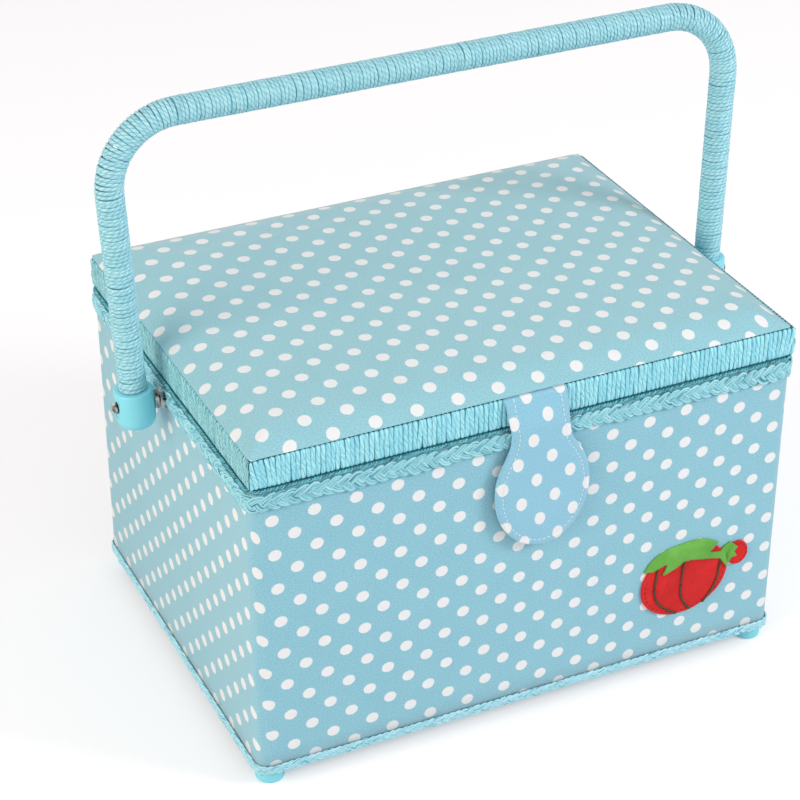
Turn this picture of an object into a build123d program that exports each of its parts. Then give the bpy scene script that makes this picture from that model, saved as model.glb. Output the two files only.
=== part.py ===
from build123d import *
import os

# A fabric-covered sewing box with a padded hinged lid, a lift-out tray and a swing handle.
# X runs along the front, Y from front to back and Z up. The origin is under the middle of
# the box, on the plane that its feet stand on. Every size is in millimetres.

# ---- Driving dimensions: the body
box_length = 320.0  # outside of the cover, left to right
box_depth = 240.0  # outside of the cover, front to back
box_height = 182.0  # underside of the base to the top of the edge binding
box_corner = 7.0  # radius of the upright corners, on the cover
board = 5.0  # fibreboard of the walls and the base
cover = 0.7  # printed fabric on the outside
base_cover = 0.5  # plain fabric under the base
lining = 0.7  # fabric on the inside
binding_height = 2.0  # twisted cord along the top edge of the walls

# ---- Driving dimensions: braids
top_braid_height = 10.0
top_braid_thickness = 2.4
base_braid_height = 5.5
base_braid_thickness = 2.0
braid_round = 0.8  # rounding of a braid's long edges

# ---- Driving dimensions: feet
foot_height = 8.0
foot_radius = 8.0
foot_inset = 9.0  # from the cover to the middle of a foot
foot_round = 1.5
foot_screw_radius = 1.5
foot_screw_length = 9.0
foot_screw_head_radius = 3.2
foot_screw_head = 2.0
foot_recess = 3.5  # depth of the screw's pocket in the foot

# ---- Driving dimensions: the lid
lid_gap = 0.3  # between the closed lid and the binding
rim_height = 18.7
rail_thickness = 4.0
rim_wrap = 1.2  # cord wound round the rails
rim_corner = 2.5
mitre_gap = 0.3
panel_thickness = 4.0
panel_depth = 5.0  # top of the panel below the top of the rim
panel_clearance = 0.1
pad_rise = 9.0  # middle of the pad above the rim
pad_crown = 2.5  # fall of the pad from its middle to its sides
pad_round = 8.0
pad_corner = 4.0
pad_cover = 0.7
pad_clearance = 0.2
lid_lining = 0.7
lid_lining_margin = 0.4

# ---- Driving dimensions: what is sewn inside the lid
pocket_depth = 108.0
pocket_slack = 5.2  # room between the pocket and the lining
pocket_cloth = 0.8
pocket_side = 11.6  # from the rim to the side seam of the pocket
pocket_back = 9.0  # from the rim to the bottom seam of the pocket
pocket_gap = 17.0  # between the pincushion and the pocket
elastic_width = 6.0
elastic_thickness = 1.0
pincushion_radius = 31.0
pincushion_thickness = 7.5
pincushion_round = 3.0
pincushion_side = 16.6  # from the rim to the pincushion

# ---- Driving dimensions: hinges
hinge_inset = 70.0  # from the end of the box to the middle of a hinge
hinge_length = 30.0
hinge_stand_off = 2.2  # from the cover to the hinge axis
knuckle_radius = 2.0
hinge_pin_radius = 1.0
hinge_pin_clearance = 0.05
knuckle_gap = 0.2
leaf_thickness = 1.0
leaf_drop = 14.0  # height of the lower leaf inside the wall
leaf_slot_clearance = 0.1
leaf_screw_radius = 1.1
leaf_screw_head_radius = 2.1
leaf_screw_length = 5.0
leaf_screw_spacing = 18.0

# ---- Driving dimensions: the tab and its magnetic snap
tab_neck = 36.4
tab_width = 56.0
tab_waist = 16.0  # straight part of the neck
tab_belly = 59.0  # from the hinge to the widest place
tab_length = 94.0
tab_lean = 4.5  # degrees, in the plane of the tab
tab_x = -0.8  # middle of the neck
tab_core_thickness = 1.6
tab_cloth = 0.8
tab_seam = 1.2  # fabric turned round the edge of the core
tab_clearance = 0.3
tab_anchor_thickness = 2.0
snap_radius = 9.0
snap_plate_thickness = 1.8
snap_gap = 0.3  # between the magnet and its plate

# ---- Driving dimensions: the handle
handle_height = 162.0  # pivot to the middle of the crossbar
handle_splay = 6.0  # of each leg, outwards from the pivot to the crossbar
handle_bend = 38.0  # radius of the corners, on the middle of the tube
handle_lean = 2.0  # degrees towards the back
tube_radius = 6.6
tube_wall = 1.2
tube_below = 8.0  # end of the tube below the pivot
handle_wrap = 1.1
pivot_drop = 9.0  # pivot below the top of the binding
socket_gap = 6.8  # between the cover and the socket
socket_radius = 10.7
socket_above = 9.5
socket_below = 13.5
socket_round = 6.5
socket_lip_round = 1.2
socket_fit = 0.1
wrap_depth = 4.5  # of the wound cord inside the socket
bolt_radius = 3.0
bolt_clearance = 0.05
bolt_head_radius = 5.4
bolt_head = 2.8
bolt_head_round = 0.9
bolt_seat_depth = 0.8  # flat cut in the socket for the bolt's head and nut
hex_recess = 3.0  # across the flats of the key recess
hex_recess_depth = 1.6
nut_flats = 10.0
nut_thickness = 2.2
washer_radius = 6.0
washer_thickness = 1.1
washer_clearance = 0.3
seat_gap = 0.05
bolt_end = 0.8  # of thread past the inner nut
braid_under_washer = 1.0

# ---- Driving dimensions: the tray
tray_height = 35.0
tray_drop = 6.0  # top of the tray below the binding
tray_wall = 1.5
tray_lip = 1.5
tray_corner = 10.0
tray_gap = 0.4  # to the hinge leaves, all round
notch_depth = 15.0
notch_width = 60.0
notch_corner = 6.0
front_row_depth = 84.0
ledge_thickness = 6.0
ledge_height = 10.0
ledge_margin = 12.0  # from the end of a ledge to the corner or the notch

# ---- Driving dimensions: the felt ornament on the front
felt = 1.5
tomato_side = 61.0  # from the right end of the box to the middle of the tomato
tomato_rise = 52.0  # from the underside of the walls to the middle of the tomato
tomato_length = 56.0
tomato_height = 46.0
tomato_tilt = 7.0  # degrees
tomato_cap = 12.5  # height of the leaves along the top of the tomato
berry_offset = 34.2  # from the middle of the tomato to the middle of the berry
berry_rise = 8.0
berry_length = 16.0
berry_width = 14.0
berry_tilt = 100.0  # degrees, its leaves towards the tomato
berry_cap = 6.0
leaf_tip_length = 11.0
leaf_tip_width = 6.5
stalk_width = 4.5

# ---- Places that follow from the sizes
body_top = foot_height + box_height
wall_bottom = foot_height + base_cover
wall_top = body_top - binding_height
wall_thickness = cover + board + lining
core_length = box_length - 2 * cover
core_depth = box_depth - 2 * cover
core_corner = box_corner - cover
inner_length = box_length - 2 * wall_thickness
inner_depth = box_depth - 2 * wall_thickness
base_top = wall_bottom + board
rim_width = rail_thickness + 2 * rim_wrap
rim_bottom = body_top + lid_gap
rim_top = rim_bottom + rim_height
rim_inner_length = box_length - 2 * rim_width
rim_inner_depth = box_depth - 2 * rim_width
panel_top = rim_top - panel_depth
panel_bottom = panel_top - panel_thickness
lid_lining_bottom = panel_bottom - lid_lining
hinge_y = box_depth / 2 + hinge_stand_off
hinge_z = body_top + lid_gap / 2
hinge_x = box_length / 2 - hinge_inset
pivot_z = body_top - pivot_drop
socket_x = box_length / 2 + socket_gap + socket_radius
nearly = 0.01  # kept between surfaces of two pieces that would otherwise share a curve


def block(x, y, z):
    """A plain block between two x, two y and two z values."""
    middle = [(low + high) / 2 for low, high in (x, y, z)]
    size = [high - low for low, high in (x, y, z)]
    return Pos(*middle) * Box(*size)


def rod(start, radius, length, along):
    """A cylinder that starts at a point and runs along an axis."""
    return Plane(origin=start, z_dir=along) * extrude(Circle(radius), length)


def hexagon(start, flats, length, along):
    """A hexagonal prism that starts at a point and runs along an axis."""
    section = RegularPolygon(flats / 2, 6, major_radius=False)
    return Plane(origin=start, z_dir=along) * extrude(section, length)


def band(length, depth, corner, thickness, bottom, top):
    """An upright band round the box, its thickness measured inwards."""
    outside = RectangleRounded(length, depth, corner)
    inside_corner = max(corner - thickness, nearly)
    inside = RectangleRounded(length - 2 * thickness, depth - 2 * thickness, inside_corner)
    return Pos(0, 0, bottom) * extrude(outside - inside, top - bottom)


def both_sides(piece):
    """A piece and its mirror image on the other side of the box."""
    return [piece, mirror(piece, Plane.YZ)]


def pivot_hole(radius, inner, outer):
    """Holes for both pivot bolts, between two distances from the middle."""
    length = outer - inner
    return [rod((side * inner, 0, pivot_z), radius, length, (side, 0, 0)) for side in (-1, 1)]


# ---- Walls and base

def wall_boards():
    """Four boards: front and back the full length, the sides between them."""
    inside_length = core_length - 2 * board
    inside_depth = core_depth - 2 * board
    plan = RectangleRounded(core_length, core_depth, core_corner)
    plan -= Rectangle(inside_length, inside_depth)
    walls = Pos(0, 0, wall_bottom) * extrude(plan, wall_top - wall_bottom)
    walls -= pivot_hole(bolt_radius + bolt_clearance, inside_length / 2 - 1, core_length / 2 + 1)
    walls -= leaf_screws(True, nearly)
    reach_x, reach_y = core_length, core_depth
    height = (wall_bottom, wall_top)
    front = walls & block((-reach_x, reach_x), (-reach_y, -inside_depth / 2), height)
    back = walls & block((-reach_x, reach_x), (inside_depth / 2, reach_y), height)
    between = (-inside_depth / 2, inside_depth / 2)
    left = walls & block((-reach_x, -inside_length / 2), between, height)
    right = walls & block((inside_length / 2, reach_x), between, height)
    return {"front_board": front, "back_board": back, "left_board": left, "right_board": right}


def base_board():
    """The base lies inside the four walls."""
    plan = Rectangle(core_length - 2 * board, core_depth - 2 * board)
    plate = Pos(0, 0, wall_bottom) * extrude(plan, board)
    return plate - foot_screw_holes()


def outer_cover():
    """Printed fabric glued round the four walls."""
    skin = band(box_length, box_depth, box_corner, cover, foot_height, wall_top)
    reach = box_length / 2
    return skin - pivot_hole(bolt_radius + bolt_clearance, reach - 3 * cover, reach + 1)


def underside_cover():
    """Plain fabric under the base, inside the edge of the printed cover."""
    plan = RectangleRounded(core_length, core_depth, core_corner)
    plate = Pos(0, 0, foot_height) * extrude(plan, base_cover)
    return plate - foot_screw_holes()


def lining_cloth():
    """One fabric lining over the base and the inside of the walls."""
    outside = block(
        (-inner_length / 2 - lining, inner_length / 2 + lining),
        (-inner_depth / 2 - lining, inner_depth / 2 + lining),
        (base_top, wall_top),
    )
    inside = block(
        (-inner_length / 2, inner_length / 2),
        (-inner_depth / 2, inner_depth / 2),
        (base_top + lining, wall_top + 1),
    )
    skin = outside - inside - leaf_screws(True, nearly)
    reach = inner_length / 2
    return skin - pivot_hole(bolt_radius + bolt_clearance, reach - 1, reach + 2 * lining)


def edge_binding():
    """Twisted cord along the top of the walls, let in for the hinges."""
    edge = band(box_length, box_depth, box_corner, wall_thickness, wall_top, body_top)
    return edge - leaf_slots(body_top - leaf_thickness, body_top + 1)


def leaf_slots(bottom, top):
    """Room for the flat part of the hinge leaves, between two heights."""
    half = hinge_length / 2 + leaf_slot_clearance
    slot = block(
        (hinge_x - half, hinge_x + half),
        (box_depth / 2 - 2 * rim_width, hinge_y + knuckle_radius),
        (bottom, top),
    )
    return both_sides(slot)


# ---- Braids

def braid(height, thickness, bottom):
    """A flat braid round the outside of the cover, with soft edges."""
    outside = RectangleRounded(
        box_length + 2 * thickness, box_depth + 2 * thickness, box_corner + thickness
    )
    inside = RectangleRounded(box_length, box_depth, box_corner)
    strip = Pos(0, 0, bottom) * extrude(outside, height)
    ends = strip.faces().sort_by(Axis.Z)
    strip = fillet(ends[0].edges() + ends[-1].edges(), braid_round)
    return strip - Pos(0, 0, bottom) * extrude(inside, height)


def top_braid():
    """The braid under the lid, pressed flat under the pivot washers."""
    strip = braid(top_braid_height, top_braid_thickness, wall_top - top_braid_height)
    inside = box_length / 2
    outside = inside + 2 * top_braid_thickness
    strip -= pivot_hole(washer_radius + washer_clearance, inside + braid_under_washer, outside)
    return strip - pivot_hole(bolt_radius + bolt_clearance, inside - cover, outside)


def base_braid():
    """The narrow braid along the foot of the walls."""
    return braid(base_braid_height, base_braid_thickness, wall_bottom)


# ---- Feet

def at_feet(piece):
    """Copies of a piece at the four feet."""
    x = box_length / 2 - foot_inset
    y = box_depth / 2 - foot_inset
    return [Pos(sx * x, sy * y, 0) * piece for sx in (-1, 1) for sy in (-1, 1)]


def foot_screw_holes():
    """Holes that the foot screws cut in the base and its cover."""
    return at_feet(rod((0, 0, foot_height - 1), foot_screw_radius, foot_screw_length, (0, 0, 1)))


def feet():
    """Moulded button feet with a pocket for the screw."""
    foot = extrude(Circle(foot_radius), foot_height)
    foot = fillet(foot.edges().sort_by(Axis.Z)[0], foot_round)
    foot -= extrude(Circle(foot_screw_head_radius + nearly), foot_recess)
    foot -= extrude(Circle(foot_screw_radius), foot_height)
    return at_feet(foot)


def foot_screws():
    """Round-headed screws up into the base board."""
    head_bottom = foot_recess - foot_screw_head
    head = Pos(0, 0, head_bottom) * extrude(Circle(foot_screw_head_radius), foot_screw_head)
    head = fillet(head.edges().sort_by(Axis.Z)[0], foot_screw_head / 2)
    end = min(foot_recess + foot_screw_length, base_top)
    shank = Pos(0, 0, foot_recess) * extrude(Circle(foot_screw_radius), end - foot_recess)
    return at_feet(head + shank)


# ---- Lid

def mitred(ring, bottom, top):
    """Cut a rim at 45 degrees in its four corners and name its sides."""
    saw = Box(4 * rim_width, mitre_gap, 3 * (top - bottom))
    for sx in (-1, 1):
        for sy in (-1, 1):
            corner = Pos(sx * box_length / 2, sy * box_depth / 2, (bottom + top) / 2)
            ring -= corner * Rot(0, 0, 45 * sx * sy) * saw
    sides = ring.solids()
    return {
        "front": sides.sort_by(Axis.Y)[0],
        "back": sides.sort_by(Axis.Y)[-1],
        "left": sides.sort_by(Axis.X)[0],
        "right": sides.sort_by(Axis.X)[-1],
    }


def rim_ring(inset):
    """The lid's rim as one ring, reduced by the same amount on every face."""
    length = box_length - 2 * inset
    depth = box_depth - 2 * inset
    corner = max(rim_corner - inset, nearly)
    thickness = rim_width - 2 * inset
    return band(length, depth, corner, thickness, rim_bottom + inset, rim_top - inset)


def lid_rails():
    """Four wooden rails, mitred at the corners."""
    ring = rim_ring(rim_wrap) - leaf_screws(False, nearly)
    sides = mitred(ring, rim_bottom, rim_top)
    return {"lid_rail_" + side: rail for side, rail in sides.items()}


def lid_wraps():
    """Cord wound round each rail, let in under the back for the hinges."""
    ring = rim_ring(0) - rim_ring(rim_wrap)
    ring -= leaf_slots(rim_bottom - 1, rim_bottom + leaf_thickness)
    ring -= leaf_screws(False, nearly)
    sides = mitred(ring, rim_bottom, rim_top)
    return {"lid_wrap_" + side: wrap for side, wrap in sides.items()}


def lid_panel():
    """The panel between the rails that carries the pad above and the lining below."""
    length = rim_inner_length - 2 * panel_clearance
    depth = rim_inner_depth - 2 * panel_clearance
    return Pos(0, 0, panel_bottom) * extrude(Rectangle(length, depth), panel_thickness)


def pad_form(inset, bottom):
    """The crowned form of the pad, reduced on its sides and top."""
    length = rim_inner_length - 2 * pad_clearance - 2 * inset
    depth = rim_inner_depth - 2 * pad_clearance - 2 * inset
    top = rim_top + pad_rise - inset
    shoulder = top - pad_crown

    def arch(width):
        half = width / 2
        sides = Polyline((-half, shoulder), (-half, bottom), (half, bottom), (half, shoulder))
        crown = ThreePointArc((half, shoulder), (0, top), (-half, shoulder))
        outline = make_face([sides, crown])
        corners = outline.vertices().sort_by(Axis.Y)[-2:]
        return fillet(corners, pad_round - inset)

    along = extrude(Plane.YZ * arch(depth), length / 2, both=True)
    across = extrude(Plane.XZ * arch(length), depth / 2, both=True)
    plan = extrude(RectangleRounded(length, depth, pad_corner - inset), top + 1)
    return along & across & plan


def pad_filling():
    """The foam on the panel."""
    return pad_form(pad_cover, panel_top)


def pad_skin():
    """Printed fabric stretched over the foam."""
    return pad_form(0, panel_top) - pad_form(pad_cover, panel_top - 1)


def lid_lining_cloth():
    """Plain fabric under the panel."""
    length = rim_inner_length - 2 * lid_lining_margin
    depth = rim_inner_depth - 2 * lid_lining_margin
    return Pos(0, 0, lid_lining_bottom) * extrude(Rectangle(length, depth), lid_lining)


def pocket():
    """A slack pocket sewn to the lining on three sides, open towards the front."""
    back = rim_inner_depth / 2 - pocket_back
    front = back - pocket_depth
    left, right = pocket_sides
    low = lid_lining_bottom - pocket_slack - pocket_cloth
    bag = block((left, right), (front, back), (low, lid_lining_bottom))
    inside = block(
        (left + pocket_cloth, right - pocket_cloth),
        (front - 1, back - pocket_cloth),
        (low + pocket_cloth, lid_lining_bottom + 1),
    )
    return bag - inside


def pocket_elastic():
    """The gathered elastic along the mouth of the pocket."""
    front = rim_inner_depth / 2 - pocket_back - pocket_depth
    high = lid_lining_bottom - pocket_slack - pocket_cloth
    return block(pocket_sides, (front, front + elastic_width), (high - elastic_thickness, high))


def pincushion():
    """A round stuffed cushion sewn to the lining."""
    cushion = extrude(Circle(pincushion_radius), pincushion_thickness)
    cushion = fillet(cushion.edges().sort_by(Axis.Z)[0], pincushion_round)
    x = pincushion_side + pincushion_radius - rim_inner_length / 2
    y = rim_inner_depth / 2 - pocket_back - pocket_depth / 2
    return Pos(x, y, lid_lining_bottom - pincushion_thickness) * cushion


# ---- Hinges

def at_hinges(piece):
    """Copies of a piece at both hinges."""
    return [Pos(side * hinge_x, 0, 0) * piece for side in (-1, 1)]


def leaf_face(lower):
    """The y of the wood-side face and the lowest and highest z of a leaf's flange."""
    if lower:
        return box_depth / 2 - wall_thickness, body_top - leaf_drop, body_top
    return box_depth / 2 - rim_width, rim_bottom, lid_lining_bottom - lid_gap


def hinge_leaf(lower):
    """A leaf over the seam and along the inner face of its board, with its barrels."""
    half = hinge_length / 2
    third = hinge_length / 6
    outer_barrels = [(-half, -third), (third, half)]
    middle_barrel = [(-third + knuckle_gap, third - knuckle_gap)]
    own, others = (outer_barrels, middle_barrel) if lower else (middle_barrel, outer_barrels)
    face_y, low, high = leaf_face(lower)
    flat = (body_top - leaf_thickness, body_top) if lower else (rim_bottom, rim_bottom + leaf_thickness)
    leaf = block((-half, half), (face_y - leaf_thickness, hinge_y), flat)
    leaf += block((-half, half), (face_y - leaf_thickness, face_y), (low, high))
    reach = knuckle_radius + knuckle_gap
    room_y = (hinge_y - reach, hinge_y + reach)
    room_z = (hinge_z - reach, hinge_z + reach)
    for start, end in others:
        leaf -= block((start - 2 * knuckle_gap, end + 2 * knuckle_gap), room_y, room_z)
    for start, end in own:
        leaf += rod((start, hinge_y, hinge_z), knuckle_radius, end - start, (1, 0, 0))
    bore = hinge_pin_radius + hinge_pin_clearance
    leaf -= rod((-half - 1, hinge_y, hinge_z), bore, hinge_length + 2, (1, 0, 0))
    return leaf - own_screws(lower, nearly)


def own_screws(lower, extra=0.0):
    """The two countersunk screws of one leaf, their heads flush with it."""
    face_y, low, high = leaf_face(lower)
    head = Cone(leaf_screw_head_radius + extra, leaf_screw_radius + extra, leaf_thickness)
    shank = Cylinder(leaf_screw_radius + extra, leaf_screw_length)
    screw = Pos(0, 0, leaf_thickness / 2) * head + Pos(0, 0, leaf_screw_length / 2) * shank
    middle = (low + high) / 2
    half = leaf_screw_spacing / 2
    places = [Pos(x, face_y - leaf_thickness, middle) for x in (-half, half)]
    return [place * Rot(-90, 0, 0) * screw for place in places]


def leaf_screws(lower, extra=0.0):
    """The screws of both hinges, in their lower or their upper leaves."""
    return [copy for screw in own_screws(lower, extra) for copy in at_hinges(screw)]


def hinge_pins():
    """The pin of each hinge, as long as its barrels."""
    start = (-hinge_length / 2, hinge_y, hinge_z)
    return at_hinges(rod(start, hinge_pin_radius, hinge_length, (1, 0, 0)))


# ---- Tab and snap

def tab_outline(inset=0.0):
    """Outline of the tab: a straight neck that widens to a rounded end."""
    neck = tab_neck / 2 - inset
    belly = tab_width / 2 - inset
    swell = (tab_belly - tab_waist) / 2
    end = tab_length - inset
    quarter = 0.5523  # length of a control arm that makes a quarter ellipse
    side = Line((neck, tab_waist), (neck, -tab_waist))
    shoulder = Bezier(
        (neck, -tab_waist),
        (neck, -tab_waist - swell),
        (belly, -tab_belly + swell),
        (belly, -tab_belly),
    )
    rounded = Bezier(
        (belly, -tab_belly),
        (belly, -tab_belly - quarter * (end - tab_belly)),
        (quarter * belly, -end),
        (0, -end),
    )
    half = Curve() + [side, shoulder, rounded]
    top = Line((-neck, tab_waist), (neck, tab_waist))
    return make_face(half + mirror(half, Plane.YZ) + top)


def tab_layer(outline, front_y, back_y):
    """A flat layer of the tab at the tab's slant, rounded along the fold that it turns on."""
    layer = extrude(Plane.XZ * outline, back_y - front_y)
    layer = Pos(tab_x, back_y, tab_top) * Rot(0, -tab_lean, 0) * layer
    reach = tab_length + tab_width
    room = block((-reach, reach), (tab_front_y, tab_back_y), (fold_z - reach, fold_z))
    room += rod((-reach, fold_y, fold_z), tab_thickness / 2, 2 * reach, (1, 0, 0))
    return layer & room


def snap_disc(radius, front_y, back_y):
    """A disc at the widest place of the tab, between two y values."""
    drop = Vector(0, 0, -tab_belly).rotate(Axis.Y, -tab_lean)
    start = (tab_x + drop.X, back_y, tab_top + drop.Z)
    return rod(start, radius, back_y - front_y, (0, -1, 0))


def tab_card():
    """Card that stiffens the tab, with a hole for the magnet."""
    core = tab_layer(tab_outline(tab_seam), tab_front_y + tab_cloth, tab_back_y - tab_cloth)
    return core - snap_disc(snap_radius + nearly, tab_front_y, tab_back_y)


def tab_front_cloth():
    """Printed fabric over the front of the card, turned round its edge."""
    dish = tab_layer(tab_outline(), tab_front_y, tab_back_y - tab_cloth)
    return dish - tab_layer(tab_outline(tab_seam), tab_front_y + tab_cloth, tab_back_y - tab_cloth)


def tab_back_cloth():
    """Fabric on the back of the tab, with a hole for the magnet."""
    sheet = tab_layer(tab_outline(), tab_back_y - tab_cloth, tab_back_y)
    return sheet - snap_disc(snap_radius + nearly, tab_front_y, tab_back_y + 1)


def snap_magnet():
    """The cased magnet in the back of the tab, just short of its plate."""
    return snap_disc(snap_radius, tab_front_y + tab_cloth, snap_face_y - snap_gap)


def snap_plate():
    """The steel plate of the snap on the front of the box."""
    plate = snap_disc(snap_radius, snap_face_y, -box_depth / 2)
    return fillet(plate.edges().sort_by(Axis.Y)[0], snap_plate_thickness / 3)


def tab_anchor():
    """The fabric end of the tab, from under the pad over the rim's top edge."""
    half = tab_neck / 2
    reach = (tab_front_y, -rim_inner_depth / 2)
    height = (rim_top, rim_top + tab_anchor_thickness)
    strap = block((tab_x - half, tab_x + half), reach, height)
    edge = strap.edges().filter_by(Axis.X).group_by(Axis.Y)[0].sort_by(Axis.Z)[-1]
    return fillet(edge, tab_anchor_thickness * 0.75)


# ---- Handle, drawn in its own plane: X across and Y up from the pivot

def stand_up(piece):
    """Put a piece drawn in the handle's own plane onto the box."""
    return Pos(0, 0, pivot_z) * Rot(90 - handle_lean, 0, 0) * piece


def bent_tube(start, radius, bore):
    """A tube along the handle, both ends at the same height from the pivot."""
    foot = socket_x + handle_splay * start / handle_height
    top = socket_x + handle_splay
    corners = [(-foot, start), (-top, handle_height), (top, handle_height), (foot, start)]
    path = FilletPolyline(*corners, radius=handle_bend)
    section = Plane(origin=path @ 0, z_dir=path % 0) * (Circle(radius) - Circle(bore))
    return sweep(section, path)


def bolt_bore(radius):
    """A bore along both pivots, in the handle's own plane."""
    reach = socket_x + 2 * socket_radius
    return rod((-reach, 0, 0), radius, 2 * reach, (1, 0, 0))


def handle_tube():
    """The steel tube inside the handle."""
    tube = bent_tube(-tube_below, tube_radius, tube_radius - tube_wall)
    return stand_up(tube - bolt_bore(bolt_radius + bolt_clearance))


def handle_cord():
    """Cord wound closely round the tube, its ends inside the sockets."""
    start = socket_above - wrap_depth
    return stand_up(bent_tube(start, tube_radius + handle_wrap, tube_radius))


def socket(side):
    """A plastic socket: a round-ended cup on the end of the handle, flat for the bolt."""
    height = socket_above + socket_below
    cup = extrude(Circle(socket_radius), height)
    cup = fillet(cup.edges().sort_by(Axis.Z)[0], socket_round)
    cup = fillet(cup.edges().sort_by(Axis.Z)[-1], socket_lip_round)
    cup = Pos(0, 0, -socket_below) * cup
    bore = extrude(Circle(tube_radius + socket_fit), height)
    cup -= Pos(0, 0, -tube_below - socket_fit) * bore
    wound = tube_radius + handle_wrap + socket_fit
    cup -= Pos(0, 0, socket_above - wrap_depth) * extrude(Circle(wound), height)
    splay = Vector(0, handle_height, 0).get_angle(Vector(handle_splay, handle_height, 0))
    cup = Pos(side * socket_x, 0, 0) * Rot(0, 0, -side * splay) * Rot(-90, 0, 0) * cup
    for toward in (-1, 1):
        start = (side * socket_x + toward * (socket_radius - bolt_seat_depth), 0, 0)
        cup -= rod(start, washer_radius + washer_clearance, socket_radius, (toward, 0, 0))
    return stand_up(cup - bolt_bore(bolt_radius + bolt_clearance))


# ---- Pivot bolts

def both_pivots(piece):
    """A piece of the right-hand pivot, drawn on the X axis, at both pivots."""
    placed = Pos(0, 0, pivot_z) * piece
    return both_sides(placed)


def pivot_bolts():
    """A bolt through each socket and wall, with a key recess in its head."""
    head_start = socket_x + socket_radius - bolt_seat_depth + seat_gap
    head = rod((head_start, 0, 0), bolt_head_radius, bolt_head, (1, 0, 0))
    head = fillet(head.edges().sort_by(Axis.X)[-1], bolt_head_round)
    head_end = head_start + bolt_head
    head -= hexagon((head_end, 0, 0), hex_recess, hex_recess_depth, (-1, 0, 0))
    shank = rod((bolt_tip_x, 0, 0), bolt_radius, head_start - bolt_tip_x, (1, 0, 0))
    return both_pivots(head + shank)


def nut(start):
    """A hexagonal nut round the bolt, from a distance along it."""
    blank = hexagon((start, 0, 0), nut_flats, nut_thickness, (1, 0, 0))
    return blank - rod((start - 1, 0, 0), bolt_radius + nearly, nut_thickness + 2, (1, 0, 0))


def washer(start):
    """A washer round the bolt, from a distance along it."""
    plan = Circle(washer_radius) - Circle(bolt_radius + nearly)
    return Plane(origin=(start, 0, 0), z_dir=(1, 0, 0)) * extrude(plan, washer_thickness)


def wall_washers():
    """A washer on each face of both walls."""
    return both_pivots(washer(outer_washer_x)) + both_pivots(washer(inner_washer_x))


def wall_nuts():
    """A nut against each wall washer."""
    outer = nut(outer_washer_x + washer_thickness)
    inner = nut(inner_washer_x - nut_thickness)
    return both_pivots(outer) + both_pivots(inner)


def socket_nuts():
    """The nut that holds each socket against the bolt's head."""
    flat = socket_x - socket_radius + bolt_seat_depth
    return both_pivots(nut(flat - seat_gap - nut_thickness))


# ---- Tray

def tray_plan(inset):
    """Plan of the tray, with a finger notch in the middle of both ends."""
    plan = RectangleRounded(
        tray_length - 2 * inset, tray_depth - 2 * inset, tray_corner - inset
    )
    notch = RectangleRounded(
        2 * (notch_depth + inset), notch_width + 2 * inset, notch_corner + inset
    )
    for side in (-1, 1):
        plan -= Pos(side * tray_length / 2, 0) * notch
    return plan


def tray():
    """A moulded tray: one long front row and three compartments behind."""
    shell = extrude(tray_plan(0), tray_height)
    shell -= Pos(0, 0, tray_wall) * extrude(tray_plan(tray_wall), tray_height)
    lip = extrude(tray_plan(-tray_lip) - tray_plan(tray_wall), tray_wall)
    shell += Pos(0, 0, tray_height - tray_wall) * lip
    divider_y = -tray_depth / 2 + front_row_depth
    half = tray_wall / 2
    height = (0, tray_height - tray_lip)
    inside = extrude(tray_plan(half), tray_height - tray_lip)
    long_divider = block((-tray_length, tray_length), (divider_y - half, divider_y + half), height)
    shell += long_divider & inside
    for x in divider_places:
        cross = block((x - half, x + half), (divider_y, tray_depth), height)
        shell += cross & inside
    return Pos(0, 0, tray_bottom) * shell


def tray_ledges():
    """Strips on the side walls that the tray stands on, clear of the finger notches."""
    end = inner_depth / 2 - ledge_margin
    start = notch_width / 2 + ledge_margin
    strip = block(
        (inner_length / 2 - ledge_thickness, inner_length / 2),
        (start, end),
        (tray_bottom - ledge_height, tray_bottom),
    )
    return both_sides(strip) + both_sides(mirror(strip, Plane.XZ))


# ---- Felt ornament

def on_front(plan, x, z, tilt, layer):
    """A felt shape on the front of the box, tilted in its plane, in a numbered layer."""
    sheet = extrude(Plane.XZ * (Rot(0, 0, tilt) * plan), felt)
    return Pos(x, -box_depth / 2 - layer * felt, z) * sheet


def leaf_tip():
    """A pointed leaf that hangs from the origin."""
    half = leaf_tip_length / 2
    radius = (half ** 2 + (leaf_tip_width / 2) ** 2) / leaf_tip_width
    shift = radius - leaf_tip_width / 2
    lens = Pos(shift, 0) * Circle(radius) & Pos(-shift, 0) * Circle(radius)
    return Pos(0, -half) * lens


def leaf_cap(length, height, depth, slants):
    """Leaves over the top of an oval fruit, their tips hanging from a straight line."""
    line = height / 2 - depth
    above = Pos(0, line + height / 2) * Rectangle(2 * length, height)
    cap = Ellipse(length / 2, height / 2) & above
    reach = length * (0.25 - (line / height) ** 2) ** 0.5
    step = 2 * reach / len(slants)
    for number, slant in enumerate(slants):
        x = -reach + step * (number + 0.5)
        cap += Pos(x, line + leaf_tip_width / 4) * Rot(0, 0, slant) * leaf_tip()
    return cap


def felt_tomato():
    """The red body of the tomato."""
    oval = Ellipse(tomato_length / 2, tomato_height / 2)
    return on_front(oval, tomato_x, tomato_z, tomato_tilt, 0)


def felt_berry():
    """The small red berry beside it."""
    oval = Ellipse(berry_length / 2, berry_width / 2)
    return on_front(oval, berry_x, berry_z, berry_tilt, 0)


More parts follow.
